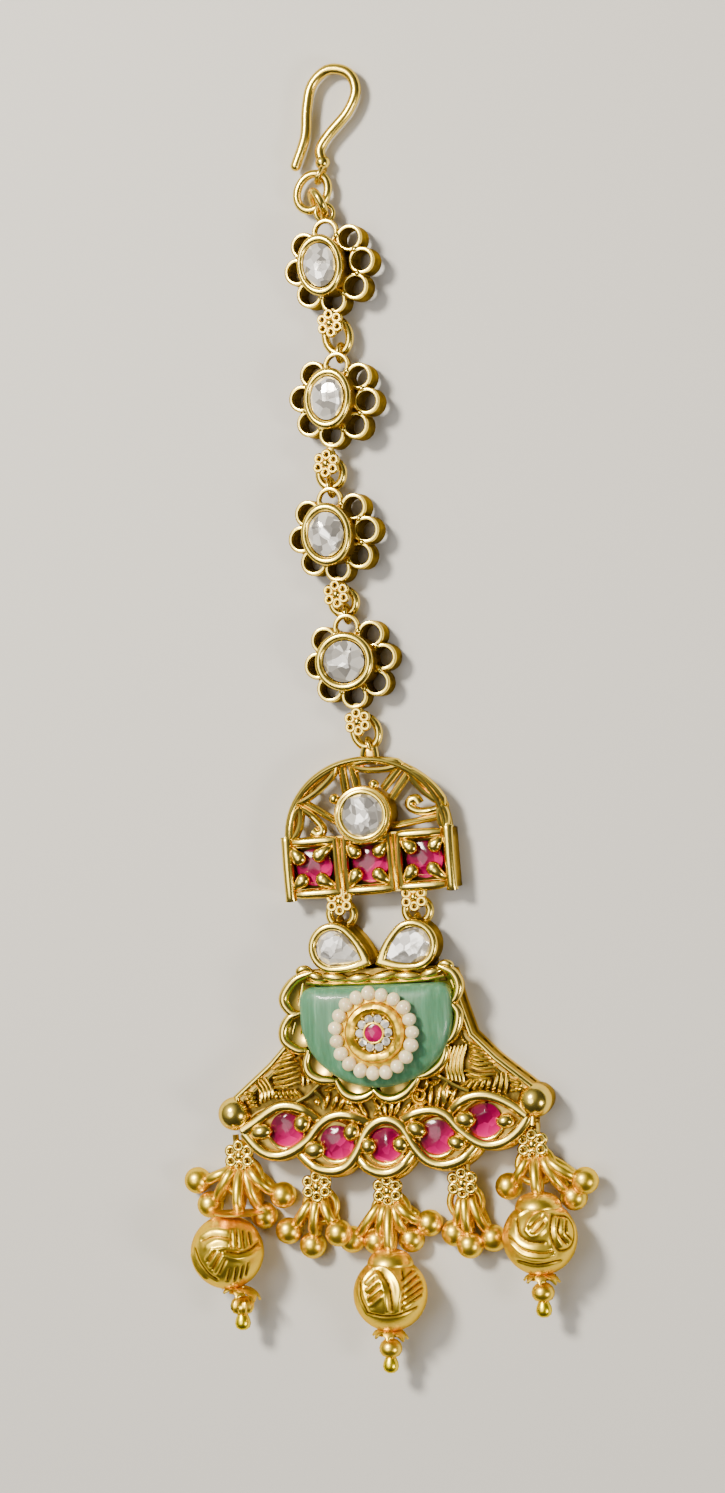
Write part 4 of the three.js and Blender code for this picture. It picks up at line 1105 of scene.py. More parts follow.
def weave(work):
    """Patches of curved wires that cross each other's direction."""
    for first, last, count in WEAVE:
        for points in between_arcs(first, last, count):
            lay = wire(smooth(flat(points, WEAVE_HEIGHT), 4), tapered((0.25, 0.5), (0.17, 0.3), 0.5), 8)
            solder(work, lay, above(3.7, 0.55))


def centre_strip(work):
    """Ridges, a coil, leaves and granules between the collar and the ribbon border."""
    for points in PARTINGS:
        solder(work, wire(smooth(flat(points, 4.0), 4), (0.3, 0.4), 8), 0.0)
    coil = [Vector((*COIL, 4.0)) + round_z(0.22 + 0.045 * i, 1.5 + i * 0.55) for i in range(20)]
    solder(work, wire(coil, (0.24, 0.5), 8), above(3.7, 0.4))
    for x, y, lean, long, breadth in LEAVES:
        tip = round_z(long, math.radians(90 + lean))
        start = Vector((x, y, 3.8))
        leaf = wire([start + tip * t / 8 for t in range(9)], tapered((breadth, 0.5), (0.1, 0.2), 0.7), 10)
        solder(work, leaf, above(3.65, 0.45))
    for x, y, radius in GRAINS:
        solder(work, ball(radius, segments=12), 0.0, at(x, y, 3.9))


# the border's ribbons, each with the height of its two ends: where it dips, it passes under the next one
RIBBONS = [
    ([(-16.93, -0.75), (-15.46, 0.16), (-14.13, 1.07), (-12.67, 1.85), (-11.26, 1.97), (-9.87, 1.63),
      (-8.78, 0.92), (-7.9, 0.0)], 4.2, 3.5),
    ([(-1.87, -0.5), (-2.95, 0.21), (-4.18, 0.65), (-5.29, 0.75), (-6.57, 0.45), (-7.59, -0.2),
      (-8.34, -0.99), (-9.09, -1.92), (-10.12, -2.71), (-11.29, -3.36), (-12.58, -3.73), (-13.85, -3.63),
      (-14.94, -3.06), (-15.88, -2.15), (-16.8, -1.0)], 3.5, 4.0),
    ([(-10.46, -3.5), (-9.39, -4.55), (-8.31, -5.25), (-7.07, -5.6), (-5.95, -5.6), (-4.8, -5.15),
      (-3.91, -4.23), (-3.14, -3.03), (-2.58, -1.83), (-1.9, -0.9), (-1.03, -0.25), (0.0, 0.05),
      (0.95, -0.1), (1.85, -0.7), (2.51, -1.66), (3.08, -2.78), (3.91, -3.92), (4.87, -4.81),
      (6.11, -5.25), (7.51, -5.15), (8.8, -4.66), (9.85, -3.83), (10.6, -2.9)], 3.5, 3.5),
    ([(1.5, -0.4), (2.36, 0.08), (3.54, 0.67), (4.95, 0.94), (6.22, 0.85), (7.2, 0.4), (7.8, -0.2),
      (8.5, -1.08), (9.46, -1.97), (10.55, -2.74), (11.66, -3.14), (12.92, -3.1), (14.2, -2.65),
      (15.37, -1.76), (16.18, -0.85), (16.6, -0.1)], 3.5, 4.0),
    ([(7.5, 0.3), (8.13, 1.15), (9.19, 1.98), (10.47, 2.44), (11.74, 2.52), (12.98, 2.24), (14.2, 1.71),
      (15.41, 0.94), (16.5, 0.1)], 3.5, 4.2),
    ([(-3.6, -3.8), (-3.1, -4.66), (-2.17, -5.49), (-1.08, -5.95), (0.0, -6.05), (0.9, -5.8), (1.8, -5.2),
      (2.6, -4.3), (3.1, -3.4)], 3.5, 3.5),
]
# two granules at each ruby: place, half length, half breadth and turn
BEADS = [
    (-14.65, -0.9, 1.2, 0.82, 8), (-9.75, -0.05, 1.0, 0.85, 60), (-8.4, -3.15, 1.2, 0.88, 12),
    (-3.95, -1.2, 1.0, 0.82, 60), (-2.0, -2.85, 0.92, 0.88, 0), (1.8, -2.75, 0.92, 0.88, 0),
    (3.75, -1.1, 1.15, 0.85, -28), (8.35, -2.75, 1.05, 0.8, -15), (9.5, -0.15, 1.15, 0.85, -8),
    (14.1, -0.45, 1.0, 0.75, 5),
]


def cell_plates(work):
    """A flange, a well painted half dark as patina and shade, and a sill for each eye-shaped cell."""
    for x, y, half, rise, turn, _, _ in CELLS:
        place = at(x, y, 0, turn)
        flange = plate(arc(0, 0, half + 0.15, rise + 0.3, 0, 360, 44)[:-1], 0.0, 2.9, 0.35, 3)
        solder(work, flange, above(2.2, 0.35, 0.15), place)
        solder(work, plate(arc(0, 0, half - 0.3, rise - 0.3, 0, 360, 40)[:-1], 2.5, 3.4), 0.5, place)
        sill = wire(arc(0, 0, half - 0.75, rise - 0.65, 20, 160, 18, 3.5), (0.25, 0.7), 8)
        solder(work, sill, 0.15, place)


def ribbon(work, points, start_height, end_height):
    """One ribbon on its own upright wall, its ends dipping within five points."""
    run = smooth(flat(points, RIBBON_HEIGHT), 3)
    for i, place in enumerate(run):
        near_start, near_end = max(1 - i / 5, 0), max(1 - (len(run) - 1 - i) / 5, 0)
        place.z += (start_height - RIBBON_HEIGHT) * near_start + (end_height - RIBBON_HEIGHT) * near_end
    solder(work, wire(run, (0.62, 0.46), 14))
    solder(work, wire([place - UP * 0.75 for place in run], (0.52, 0.6), 8), 0.25)


def ribbon_border(work):
    """Five eye-shaped cells between two ribbons that twist round each other, on a wider flange."""
    cell_plates(work)
    for points, start_height, end_height in RIBBONS:
        ribbon(work, points, start_height, end_height)
    lines = [points for points, _, _ in RIBBONS]
    for run in (lines[1][8:], lines[2][:7], lines[5], lines[2][16:], lines[3][7:]):
        lower = [Vector((x * 1.025, y - 0.6 + 0.02 * abs(x), 1.6)) for x, y in run]
        solder(work, wire(smooth(lower, 3), (0.62, 1.25), 12), above(2.3, 0.4))
    for *_, x, y in CELLS:
        lip = arc(x, y, 2.2, 2.25, 190, 350, 20, 3.75)
        solder(work, wire(lip, tapered((0.36, 0.45), (0.12, 0.3), 0.7), 12))
    for x, y, long, broad, turn in BEADS:
        solder(work, ball(1, (long * 1.12, broad * 1.16, 0.95), 24), 0.0, at(x, y, 4.25, turn))


def fan_hangers(work):
    """The florets under the border that carry the sprays."""
    for spray in SPRAYS:
        x, y = spray["floret"]
        add_floret(work, x, y, grown=1.25)
        add_stems(work, x, (y, STEM_HEIGHT), (y + 2.4, STEM_HEIGHT - 0.1), 0.42, (0.36, 0.5), 1.3)
        solder(work, eye(spray_eye(spray)), 0.1)


def fan_gold():
    work = bmesh.new()
    for add_part in (fan_shell, collar, rail, centre_strip, ribbon_border, fan_hangers, weave):
        add_part(work)
    for side, (x, y) in zip((-1, 1), CORNER_BALLS):
        pear_bezel(work, side)
        solder(work, ball(1.95, segments=36), 0.0, at(x, y, 3.4))
        # the foot under each ball is painted darker, as shade under the ball
        solder(work, turned([(0, 0), (1.75, 0), (1.9, 1.5), (1.85, 3.2), (0, 3.2)], 28), 0.6, at(x, y))
    gold_piece(work, "fan_gold", "fan")


def fan_rings():
    for side, name, floret in zip((-1, 1), ("left", "right"), CREST_FLORETS):
        jump_ring(f"fan_ring_{name}", crest_eye(*floret), pear_eye(side), LINK_BREADTH)


def pear_stones():
    """Two pear stones with uneven facets; the pointed end has none of the steep ones."""
    facets = 9
    for side, name in ((-1, "left"), (1, "right")):
        gem = plate(pear_outline(PEAR_RADIUS - 0.88, PEAR_REACH - 1.55, 18), 4.5, 5.6)
        chance = random.Random(side + 5)
        for i in range(2 * facets):
            turn = math.tau * (i / 2 + chance.uniform(-0.2, 0.2)) / facets
            if i % 2:
                grind(gem, turn, chance.uniform(3, 9), 0.75, 5.5)
            elif math.cos(turn) >= -0.45:
                grind(gem, turn, chance.uniform(25, 60), 1.8, 5.1)
        bmesh.ops.recalc_face_normals(gem, faces=gem.faces)
        polki_piece(bench((gem, 0.0, pear_place(side))), f"pear_{name}_polki", f"pear_stone_{name}")


def border_rubies():
    for i, (*_, x, y) in enumerate(CELLS, 1):
        work = bench((cut_stone(2.0, 1.2, 7, 30 + i, (15, 40)), painted_ruby_glow, at(x, y, 3.5)))
        ruby_piece(work, f"border_ruby_{i}_gem", f"border_ruby_{i}")


# ---------------------------------------------------------------- green stone and pearl rosette
GREEN_HALF = 8.9
GREEN_CORNER = 1.6
GREEN_FLANK, GREEN_FOOT = 12, 3.9       # where its sides turn into the half-moon, and the half-moon's foot


def green_outline():
    """Straight over the top with rounded corners, and a half-moon below."""
    corner = arc(GREEN_HALF - GREEN_CORNER, GREEN_TOP - GREEN_CORNER, GREEN_CORNER, GREEN_CORNER, 0, 90, 6)
    left = [Vector((-p.x, p.y, 0)) for p in reversed(corner)]
    return corner + left + arc(0, GREEN_FLANK, GREEN_HALF, GREEN_FLANK - GREEN_FOOT, 180, 360, 40)[:-1]


def green_gem():
    """A half-moon cabochon: upright sides that round over into a low dome."""
    gem = bmesh.new()
    face = gem.faces.new([gem.verts.new((p.x, p.y, GREEN_BASE)) for p in green_outline()])
    middle = Matrix.Translation((0, -ROSETTE_Y, 0))
    size, height = 1.0, GREEN_BASE
    for turn in (math.pi / 2 * i / 14 for i in range(14)):
        new_size, new_height = math.cos(turn) ** 0.5, GREEN_BASE + 1.1 + 1.7 * math.sin(turn) ** 0.8
        below = face
        face = only(BMFace, bmesh.ops.extrude_face_region(gem, geom=[face])["geom"])[0]
        if height > GREEN_BASE:
            bmesh.ops.delete(gem, geom=[below], context="FACES_ONLY")
        verts = list(face.verts)
        bmesh.ops.scale(gem, vec=(new_size / size, new_size / size, 1), space=middle, verts=verts)
        bmesh.ops.translate(gem, vec=(0, 0, new_height - height), verts=verts)
        size, height = new_size, new_height
    bmesh.ops.recalc_face_normals(gem, faces=gem.faces)
    finish(bench((gem, 0.0)), "green_half_moon", GREEN, ["green_stone"])


def pearls():
    """The ring of seed pearls, no two quite alike."""
    work = bmesh.new()
    chance = random.Random(4)
    for i in range(PEARLS):
        turn = math.tau * i / PEARLS
        size = chance.uniform(0.95, 1.05)
        reach = PEARL_CIRCLE + chance.uniform(-0.08, 0.12)
        place = at(0.25, ROSETTE_Y + 0.1) @ at(*round_z(reach, turn, PEARL_HEIGHT), math.degrees(turn))
        pearl = ball(0.84, (size, size * 0.93, 0.92), 20)
        solder(work, pearl, chance.uniform(0.0, 0.35), place)
    finish(work, "seed_pearls", PEARL, ["pearl_rosette"])


BOSS_PLACE = at(0.4, ROSETTE_Y + 0.2)
BOSS_GRAINS = 10
BOSS_PROFILE = [
    (0, 7.2), (4.2, 7.2), (4.2, 7.6), (3.5, 7.7), (3.45, 8.3), (3.2, 8.75), (2.8, 8.85), (2.4, 8.65),
    (2.15, 8.25), (0, 8.2),
]


def boss():
    """The stamped gold boss in the ring of pearls: a broad hammered roll round a sunk middle."""
    face = turned(BOSS_PROFILE, 56)
    chance = random.Random(9)
    for vert in face.verts:
        if vert.co.z > 8:
            vert.co.z += chance.uniform(-0.07, 0.07)
    rim = ring_wall(1.0, 1.25, 8.0, 8.75, 24)
    # the sunk middle under the stones is painted dark, as patina and shade
    work = bench((face, within(2.3, 0.7, 0.2), BOSS_PLACE), (rim, 0.1, BOSS_PLACE))
    for i in range(BOSS_GRAINS):
        grain = round_z(2.1, math.tau * (i + 0.5) / BOSS_GRAINS, 8.45)
        solder(work, ball(0.18, segments=8), 0.0, BOSS_PLACE @ at(*grain))
    satin_piece(work, "rosette_boss")


def boss_stones():
    """The boss's ruby and the ring of tiny white stones round it."""
    ruby = cut_stone(1.15, 0.62, 7, 50, (15, 40))
    ruby_piece(bench((ruby, 0.35, BOSS_PLACE @ at(0, 0, 8.42))), "rosette_ruby")
    work = bmesh.new()
    for i in range(BOSS_GRAINS):
        place = BOSS_PLACE @ at(*round_z(1.65, math.tau * i / BOSS_GRAINS, 8.35))
        solder(work, cut_stone(0.5, 0.4, 5, 60 + i, sides=10), 0.35, place)
    polki_piece(work, "rosette_polki")


# ---------------------------------------------------------------- sprays
# spray: its floret, half the length of its ring and how low the ring lies, its leaf bead's place and turn,
# and the middles of its small balls
SPRAYS = [
    dict(floret=(-17.85, -3.75), ring=2.1, low=2.1, leaf=(-19.6, -14.65, 6),
         balls=[(-23.5, -6.65, 1.4), (-22.1, -9.5, 1.4), (-15.65, -10.9, 1.4), (-13.25, -8.6, 1.4)]),
    dict(floret=(-8.78, -7.55), ring=1.85, low=1.6, leaf=None,
         balls=[(-12.8, -12.75, 1.4), (-10.0, -14.5, 1.4), (-6.4, -12.9, 3.2)]),
    dict(floret=(-0.4, -8.2), ring=2.0, low=2.1, leaf=(-0.45, -19.8, -3),
         balls=[(-5.25, -13.9, 1.4), (-2.35, -14.15, 1.4), (1.75, -14.0, 1.4), (4.0, -12.2, 1.4)]),
    dict(floret=(8.4, -7.55), ring=1.85, low=1.6, leaf=None,
         balls=[(6.9, -13.4, 1.4), (8.8, -14.7, 2.4), (11.4, -14.1, 1.4)]),
    dict(floret=(16.8, -3.35), ring=2.0, low=2.1, leaf=(17.3, -13.7, 0),
         balls=[(13.5, -8.2, 1.4), (21.0, -9.6, 1.4), (22.6, -7.6, 2.8)]),
]
LOOP_HALF = 1.15
LOOP_WIRE = (0.5, 0.6)
SPRAY_RING_WIRE = 0.85


def spray_eye(spray):
    """The eye under a spray's floret."""
    return Vector((spray["floret"][0], spray["floret"][1] - EYE_SHIFT, 1.6))


def spray_ends(spray):
    """The head and the foot of a spray's ring."""
    start = spray_eye(spray)
    return start, Vector((start.x, start.y - 2 * spray["ring"], spray["low"]))


def hang_point(spray, target):
    """The point of a spray's ring that is nearest to the target."""
    start, end = spray_ends(spray)
    towards = target - (start + end) / 2
    angle = math.atan2(towards.x, -towards.y)
    radius = (end - start).length / 2
    along = (end - start).normalized()
    return (start + end) / 2 + along * radius * math.cos(angle) + Vector((radius * math.sin(angle), 0, 0))


def hang_loop(spray, target, stagger):
    """A standing oval loop hooked over the spray's ring, from just under the floret to the target."""
    start = spray_eye(spray)
    inner = Vector((start.x + (target.x - start.x) * 0.3, start.y - 1.2, spray["low"] + 0.35 + stagger))
    along = (target - inner).normalized()
    rise = (UP - along * along.z).normalized()
    route = oval((inner + target) / 2, along * (target - inner).length / 2, rise * LOOP_HALF)
    wide, high = LOOP_WIRE
    return wire(route, lambda t: (wide * (0.84 + 0.24 * abs(math.sin(math.tau * t))), high), 12,
                closed=True, up=along.cross(rise))


def ball_strand(name, node, spray, centre, stagger):
    """A small ball with a collar, on its own loop."""
    centre.z = max(centre.z, BALL_RADIUS)
    inward = (hang_point(spray, centre) - centre).normalized()
    turn = inward.to_track_quat("Z", "Y").to_matrix().to_4x4()
    # the loop is painted darker below 1.4 mm, as shade near the floor
    satin_piece(bench(
        (hang_loop(spray, centre + inward * BALL_RADIUS * 0.8, stagger), above(1.4, 0.35)),
        (ring_wall(0.25, 0.66, -0.25, 0.25, 16), 0.0, at(*(centre + inward * (BALL_RADIUS + 0.05))) @ turn),
        (ball(BALL_RADIUS, segments=32), 0.0, at(*centre) @ turn)), name, node)


def spray_set(number, spray):
    """A spray's ring and its balls, whose loops lie by turns a little higher and lower."""
    start, end = spray_ends(spray)
    ring = ring_between(start, end, (end - start).length, SPRAY_RING_WIRE)
    satin_piece(bench((ring, 0.05)), f"spray_{number}_ring", f"spray_ring_{number}")
    for i, centre in enumerate(spray["balls"], 1):
        stagger = -0.2 if i % 2 else 0.2
        ball_strand(f"spray_{number}_ball_{i}", f"strand_{number}_{i}", spray, Vector(centre), stagger)


# ---------------------------------------------------------------- leaf beads and their feet
RIDGE, GROOVE = 0.21, -0.17
# strokes carved on each bead's front: height, breadth and points across and up, the bead's radius being 1
CARVING = [
    [
        (GROOVE, 0.05, [(-0.85, 0.2), (-0.78, -0.15), (-0.6, -0.5), (-0.4, -0.7)]),
        (RIDGE, 0.09, [(-0.95, 0.05), (-0.88, -0.3), (-0.7, -0.6)]),
        (RIDGE, 0.12, [(-0.6, 0.52), (-0.3, 0.62), (0.1, 0.52)]),
        (RIDGE, 0.12, [(-0.5, 0.22), (-0.2, 0.3), (0.05, 0.2)]),
        (GROOVE, 0.05, [(-0.62, 0.4), (-0.3, 0.46), (0.1, 0.36)]),
        (RIDGE, 0.06, [(-0.56, -0.12), (-0.38, 0.1)]), (RIDGE, 0.06, [(-0.5, -0.32), (-0.24, 0.0)]),
        (RIDGE, 0.06, [(-0.38, -0.5), (-0.1, -0.1)]), (GROOVE, 0.04, [(-0.55, -0.2), (-0.32, 0.05)]),
        (GROOVE, 0.04, [(-0.46, -0.42), (-0.18, -0.06)]), (GROOVE, 0.04, [(-0.3, -0.56), (-0.04, -0.2)]),
        (GROOVE, 0.035, [(-0.12, -0.78), (0.0, -0.5)]), (GROOVE, 0.035, [(0.08, -0.8), (0.18, -0.5)]),
        (GROOVE, 0.035, [(0.24, -0.78), (0.36, -0.48)]), (GROOVE, 0.035, [(0.4, -0.72), (0.52, -0.42)]),
        (GROOVE, 0.06, [(0.0, -0.03), (0.3, -0.12), (0.6, -0.08), (0.9, 0.08)]),
        (RIDGE, 0.07, [(-0.05, -0.14), (0.3, -0.25), (0.62, -0.2), (0.88, -0.06)]),
        (GROOVE, 0.045, [(0.15, 0.06), (0.2, 0.5)]), (GROOVE, 0.045, [(0.32, 0.03), (0.36, 0.5)]),
        (GROOVE, 0.045, [(0.5, 0.03), (0.52, 0.46)]), (GROOVE, 0.045, [(0.68, 0.08), (0.67, 0.4)]),
        (RIDGE, 0.05, [(-0.35, 0.08), (0.0, 0.06), (0.3, -0.03)]),
    ],
    [
        (RIDGE, 0.07, [(-0.45, 0.68), (-0.16, 0.68), (0.1, 0.45), (0.24, 0.1), (0.18, -0.45)]),
        (RIDGE, 0.06, [(-0.45, 0.68), (-0.72, 0.35), (-0.68, -0.1), (-0.5, -0.45)]),
        (GROOVE, 0.05, [(-0.84, 0.3), (-0.82, -0.1), (-0.64, -0.5)]),
        (RIDGE, 0.07, [(-0.38, 0.55), (-0.2, 0.1), (-0.1, -0.45)]),
        (GROOVE, 0.07, [(-0.28, 0.6), (-0.04, 0.2), (0.03, -0.45)]),
        (RIDGE, 0.05, [(-0.66, 0.28), (-0.4, 0.5)]), (RIDGE, 0.05, [(-0.64, 0.08), (-0.33, 0.35)]),
        (RIDGE, 0.05, [(-0.6, -0.12), (-0.25, 0.15)]), (RIDGE, 0.05, [(-0.55, -0.32), (-0.2, -0.05)]),
        (GROOVE, 0.04, [(-0.62, 0.18), (-0.37, 0.42)]), (GROOVE, 0.04, [(-0.6, -0.02), (-0.3, 0.24)]),
        (GROOVE, 0.04, [(-0.56, -0.22), (-0.24, 0.04)]),
        (GROOVE, 0.04, [(0.3, 0.35), (0.6, 0.62)]), (GROOVE, 0.04, [(0.32, 0.15), (0.72, 0.48)]),
        (GROOVE, 0.04, [(0.32, -0.05), (0.82, 0.32)]), (GROOVE, 0.04, [(0.3, -0.22), (0.86, 0.15)]),
        (GROOVE, 0.04, [(0.28, -0.38), (0.84, -0.02)]),
        (RIDGE, 0.04, [(0.31, 0.25), (0.66, 0.55)]), (RIDGE, 0.04, [(0.32, 0.05), (0.77, 0.4)]),
        (RIDGE, 0.04, [(0.31, -0.13), (0.84, 0.24)]), (RIDGE, 0.04, [(0.29, -0.3), (0.85, 0.07)]),
        (GROOVE, 0.05, [(0.32, 0.6), (0.36, 0.2), (0.3, -0.42)]),
        (GROOVE, 0.05, [(-0.6, -0.52), (-0.2, -0.6), (0.2, -0.57), (0.7, -0.37)]),
    ],
    [
        (RIDGE, 0.06, [(-0.35, 0.2), (-0.2, 0.5), (0.1, 0.62), (0.22, 0.4), (0.05, 0.15), (-0.2, 0.05),
                       (-0.35, 0.2)]),
        (RIDGE, 0.05, [(-0.3, 0.12), (0.15, 0.55)]),
        (GROOVE, 0.045, [(-0.24, 0.3), (0.06, 0.52)]), (GROOVE, 0.045, [(-0.14, 0.14), (0.14, 0.4)]),
        (RIDGE, 0.09, [(-0.8, 0.15), (-0.5, -0.2), (0.0, -0.35), (0.28, -0.33)]),
        (GROOVE, 0.05, [(-0.78, 0.0), (-0.48, -0.31), (0.0, -0.43), (0.3, -0.4)]),
        (RIDGE, 0.07, [(-0.75, -0.14), (-0.45, -0.43), (0.0, -0.53), (0.32, -0.48)]),
        (GROOVE, 0.05, [(-0.6, 0.5), (-0.55, 0.1), (-0.3, -0.1), (0.1, -0.15)]),
        (GROOVE, 0.05, [(0.35, 0.55), (0.3, 0.1), (0.45, -0.35), (0.8, -0.3), (0.92, 0.1), (0.76, 0.5),
                        (0.35, 0.55)]),
        (RIDGE, 0.06, [(0.45, 0.5), (0.4, 0.1), (0.56, -0.25)]),
        (GROOVE, 0.04, [(0.55, 0.45), (0.5, 0.1), (0.7, -0.2)]),
        (RIDGE, 0.05, [(0.64, 0.43), (0.6, 0.1), (0.76, -0.15)]),
        (GROOVE, 0.04, [(0.74, 0.4), (0.7, 0.1), (0.84, -0.1)]),
        (GROOVE, 0.05, [(-0.6, -0.6), (-0.1, -0.72), (0.5, -0.64)]),
        (RIDGE, 0.05, [(-0.5, 0.62), (-0.2, 0.75), (0.2, 0.74)]),
    ],
]
# the way each bead's carving faces
FACING = [Vector((0.30, 0.15, 1)), Vector((0.25, 0.18, 1)), Vector((0.20, 0.15, 1))]
ALONG_JEWEL = Matrix.Rotation(math.radians(-90), 4, "X")


def carve(places, strokes, facing):
    """How far each place of a unit bead stands out: strokes on its front and again on its back."""
    facing = facing.normalized()
    upward = (Vector((0, 1, 0)) - facing * facing.y).normalized()
    right = upward.cross(facing)
    ridges, grooves = numpy.zeros(len(places)), numpy.zeros(len(places))
    for height, breadth, points in strokes:
        run = smooth([(u, v, 0) for u, v in points], 8)
        on_bead = [right * p.x + upward * p.y + facing * math.sqrt(max(1 - p.x ** 2 - p.y ** 2, 0))
                   for p in run]
        for flip in (1, -1):
            marks = numpy.array([(flip * p.x, p.y, flip * p.z) for p in on_bead])
            starts, steps = marks[:-1], marks[1:] - marks[:-1]
            share = numpy.einsum("pij,ij->pi", places[:, None] - starts, steps) / (steps ** 2).sum(1)
            nearest = starts + steps * numpy.clip(share, 0, 1)[:, :, None]
            gap = (((places[:, None] - nearest) ** 2).sum(2)).min(1) / breadth ** 2
            if height > 0:
                ridges = numpy.maximum(ridges, height * numpy.exp(-gap))
            else:
                grooves = numpy.minimum(grooves, height * numpy.exp(-gap))
    return ridges + grooves


def leaf_bead(number, spray):
    """A cast bead with leaves carved round it, darker in its grooves."""
    part = bmesh.new()
    bmesh.ops.create_uvsphere(part, u_segments=200, v_segments=120, radius=1)
    upright = numpy.array([(v.co.x, v.co.z, -v.co.y) for v in part.verts])
    relief = carve(upright, CARVING[number - 1], FACING[number - 1])
    for vert, rise in zip(part.verts, relief):
        vert.co *= LEAF_RADIUS + 0.05 + float(rise)

    def in_groove(place):
        return min(max((LEAF_RADIUS + 0.02 - place.length) / 0.15, 0), 0.75)
    x, y, turn = spray["leaf"]
    work = bench((part, in_groove, at(x, y, LEAF_RADIUS, turn) @ ALONG_JEWEL))
    satin_piece(work, f"leaf_bead_{number}_cast", f"leaf_bead_{number}")


def petal_cap(work, place, petals, spread):
    """A small cap of pointed petals under the bead."""
    for i in range(petals):
        turn = at(0, 0, 0, 360 * (i + 0.3) / petals)
        out = spread + 0.25 * math.sin(i * 2.4)
        route = [(0.4, 0, 0.35), (1.1, 0, 0.4), (out * 0.8, 0, 0.1), (out, 0, -0.5)]
        petal = wire(smooth(route, 3), lambda t: (0.85 * math.sin(math.pi * (0.22 + 0.75 * t)), 0.15), 10)
        solder(work, petal, 0.1, place @ turn)


# the turned parts of a foot, as radius and height from the bead's middle: two kinds of cap over the bead,
# and the small bead, core, disc and tip under it
WIDE_DISC = [
    (0, 4.1), (2.6, 4.3), (2.9, 4.42), (2.8, 4.56), (1.6, 4.55), (0.8, 4.7), (0.5, 5.0), (0.62, 5.2),
    (0.3, 5.45), (0, 5.5),
]
DOMED_CAP = [
    (0, 3.4), (2.45, 3.3), (2.62, 3.3), (2.68, 3.45), (2.6, 3.75), (2.4, 4.15), (2.05, 4.55), (1.6, 4.85),
    (1.0, 5.05), (0.5, 5.12), (0, 5.15),
]
SMALL_BEAD = [
    (0, -7.35), (0.5, -7.3), (1.0, -7.05), (1.28, -6.6), (1.33, -6.15), (1.15, -5.65), (0.8, -5.3),
    (0.5, -5.15), (0, -5.1),
]
CORE = [(0, -5.2), (0.42, -5.2), (0.42, -4.0), (0, -4.0)]
DISC = [(0, -4.1), (0.5, -4.15), (1.45, -4.6), (1.5, -4.75), (1.3, -4.78), (0, -4.5)]
TIP = [
    (0, -7.0), (0.5, -7.1), (0.66, -7.4), (0.85, -7.85), (0.93, -8.3), (0.8, -8.75), (0.45, -9.02),
    (0, -9.1),
]


# each foot: its shift to the right of the bead and its turn, its cap, the tilt and spread of its petals,
# and whether its small bead is fluted
FEET = [
    dict(shift=1.55, turn=-1, cap=WIDE_DISC, tilt=16, spread=2.3, fluted=True),
    dict(shift=0, turn=-3, cap=DOMED_CAP, tilt=4, spread=2.0, fluted=False),
    dict(shift=0, turn=0, cap=DOMED_CAP, tilt=4, spread=2.0, fluted=False),
]


def add_small_bead(work, fluted, place):
    part = turned(SMALL_BEAD, 48)
    if not fluted:
        solder(work, part, 0.0, place)
        return
    for vert in part.verts:
        vert.co.xy *= 1 + 0.07 * math.cos(12 * math.atan2(vert.co.y, vert.co.x))
    solder(work, part, lambda p: 0.5 if p.xy.length < 1.2 and abs(p.z + 6.2) < 0.7 else 0.0, place)


def drop_foot(number, spray):
    """The head pin of a drop: loop, cap, petal cap, small bead and tip."""
    foot = FEET[number - 1]
    x, y, _ = spray["leaf"]
    stand = at(x + foot["shift"], y, LEAF_RADIUS, foot["turn"])
    place = stand @ ALONG_JEWEL
    tilted = place @ at(0, 0, -4.6) @ Matrix.Rotation(math.radians(foot["tilt"]), 4, "Y")
    work = bench(
        (hang_loop(spray, stand @ Vector((0, 4.9, 0)), -0.35), 0.05), (turned(foot["cap"], 40), 0.0, place),
        (turned(CORE, 16), 0.3, place), (turned(DISC, 28), 0.2, place))
    petal_cap(work, tilted, 7, foot["spread"])
    add_small_bead(work, foot["fluted"], place)
    satin_piece(work, f"drop_{number}_pin", f"drop_foot_{number}")
    finish(bench((turned(TIP, 24), 0.0, place)), f"drop_{number}_tip", TIP_GOLD)


# ---------------------------------------------------------------- floor, light and camera
def floor():
    """The plain pale sheet that the jewel lies on."""
    sheet = bmesh.new()
    bmesh.ops.create_grid(sheet, x_segments=1, y_segments=1, size=0.6)
    mesh = bpy.data.meshes.new("floor")
    sheet.to_mesh(mesh)
    sheet.free()
    material, _, _ = new_material("pale floor", Base_Color=(0.56, 0.55, 0.53, 1), Roughness=0.7)
    mesh.materials.append(material)
    made = into_scene("floor", mesh)


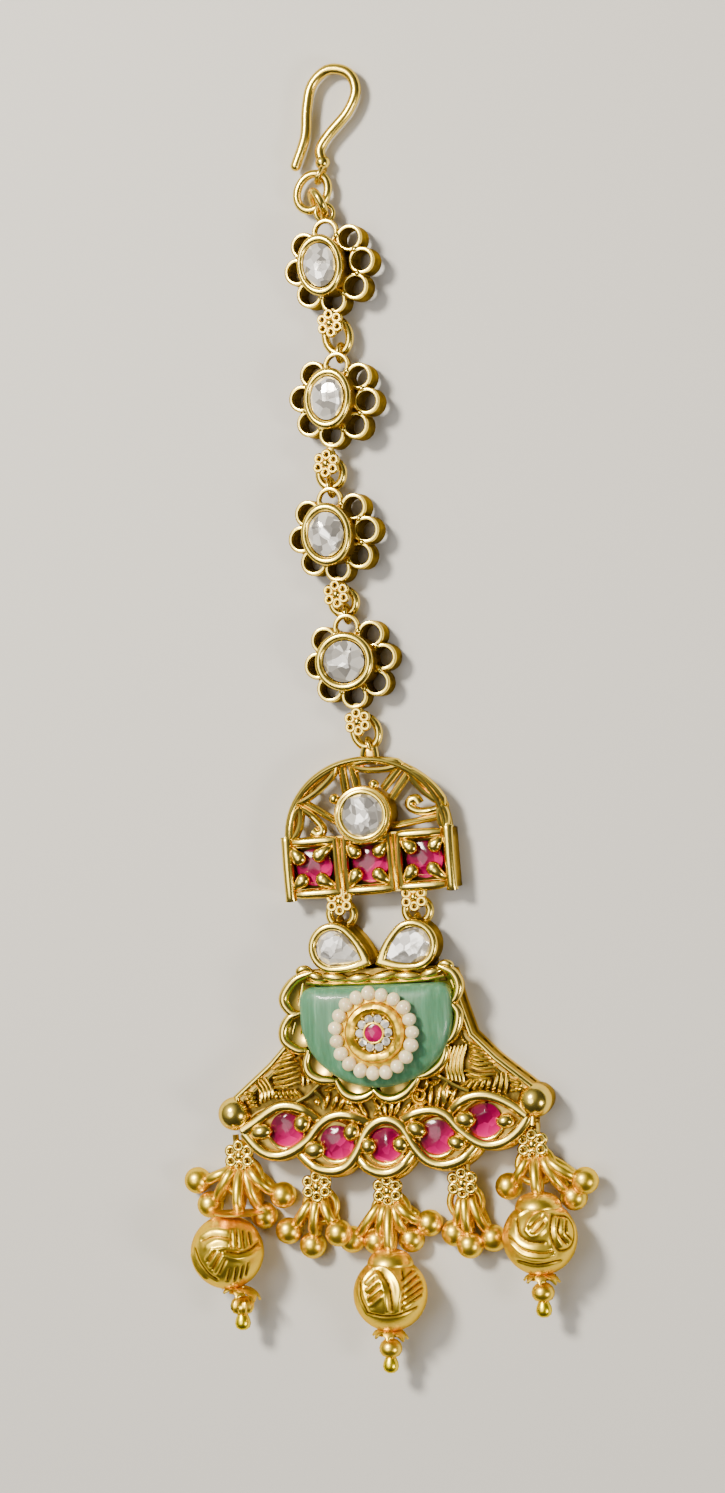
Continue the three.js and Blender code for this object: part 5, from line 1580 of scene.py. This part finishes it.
def lamp(name, place, size, power, color):
    """A soft round lamp that faces the jewel."""
    light = bpy.data.lights.new(name, "AREA")
    light.shape = "DISK"
    light.size = size
    light.energy = power
    light.color = color
    into_scene(name, light, place).rotation_euler = Vector(place).to_track_quat("Z", "Y").to_euler()


def soft_sky():
    """A dim room, brighter towards the upper left, which gives polished metal its light and dark sides."""
    world = bpy.data.worlds.new("studio")
    world.use_nodes = True
    tree = world.node_tree
    where = add_node(tree, "ShaderNodeTexCoord").outputs["Generated"]
    side = add_node(
        tree, "ShaderNodeVectorMath", {0: where, 1: (-0.45, 0.45, 0.77)}, operation="DOT_PRODUCT")
    glow = ramp(tree, side.outputs["Value"], (0.0, (0.05, 0.05, 0.053)), (0.6, (0.11, 0.11, 0.113)),
                (0.98, (0.80, 0.78, 0.72)))
    background = tree.nodes["Background"].inputs
    tree.links.new(glow, background["Color"])
    background["Strength"].default_value = 0.9
    bpy.context.scene.world = world


def studio():
    """The floor, the sky, three lamps and the camera."""
    floor()
    soft_sky()
    lamp("key", (-0.18, 0.20, 0.40), 0.10, 4.6, (1.0, 0.92, 0.78))
    lamp("overhead", (-0.15, -0.02, 0.44), 0.26, 0.75, (1.0, 0.97, 0.92))
    lamp("side", (0.36, -0.16, 0.26), 0.12, 1.1, (1.0, 0.92, 0.80))
    camera = bpy.data.cameras.new("camera")
    camera.lens = 77.25
    camera.sensor_width = 36
    camera.clip_start = 0.01
    made = into_scene("camera", camera, (0.0884, -0.0052, 0.360))
    made.rotation_euler = Euler([math.radians(angle) for angle in (-0.53, 13.88, -3.37)])
    bpy.context.scene.camera = made


# ---------------------------------------------------------------- the jewel
studio()
hair_hook()
hook_rings()
for count, one in enumerate(FLOWERS, 1):
    flower_gold(count, one)
    flower_stone(count, one)
link_rings()
crest_gold()
crest_stones()
fan_gold()
fan_rings()
pear_stones()
border_rubies()
green_gem()
pearls()
boss()
boss_stones()
for count, one in enumerate(SPRAYS, 1):
    spray_set(count, one)
for count, one in enumerate((s for s in SPRAYS if s["leaf"]), 1):
    leaf_bead(count, one)
    drop_foot(count, one)
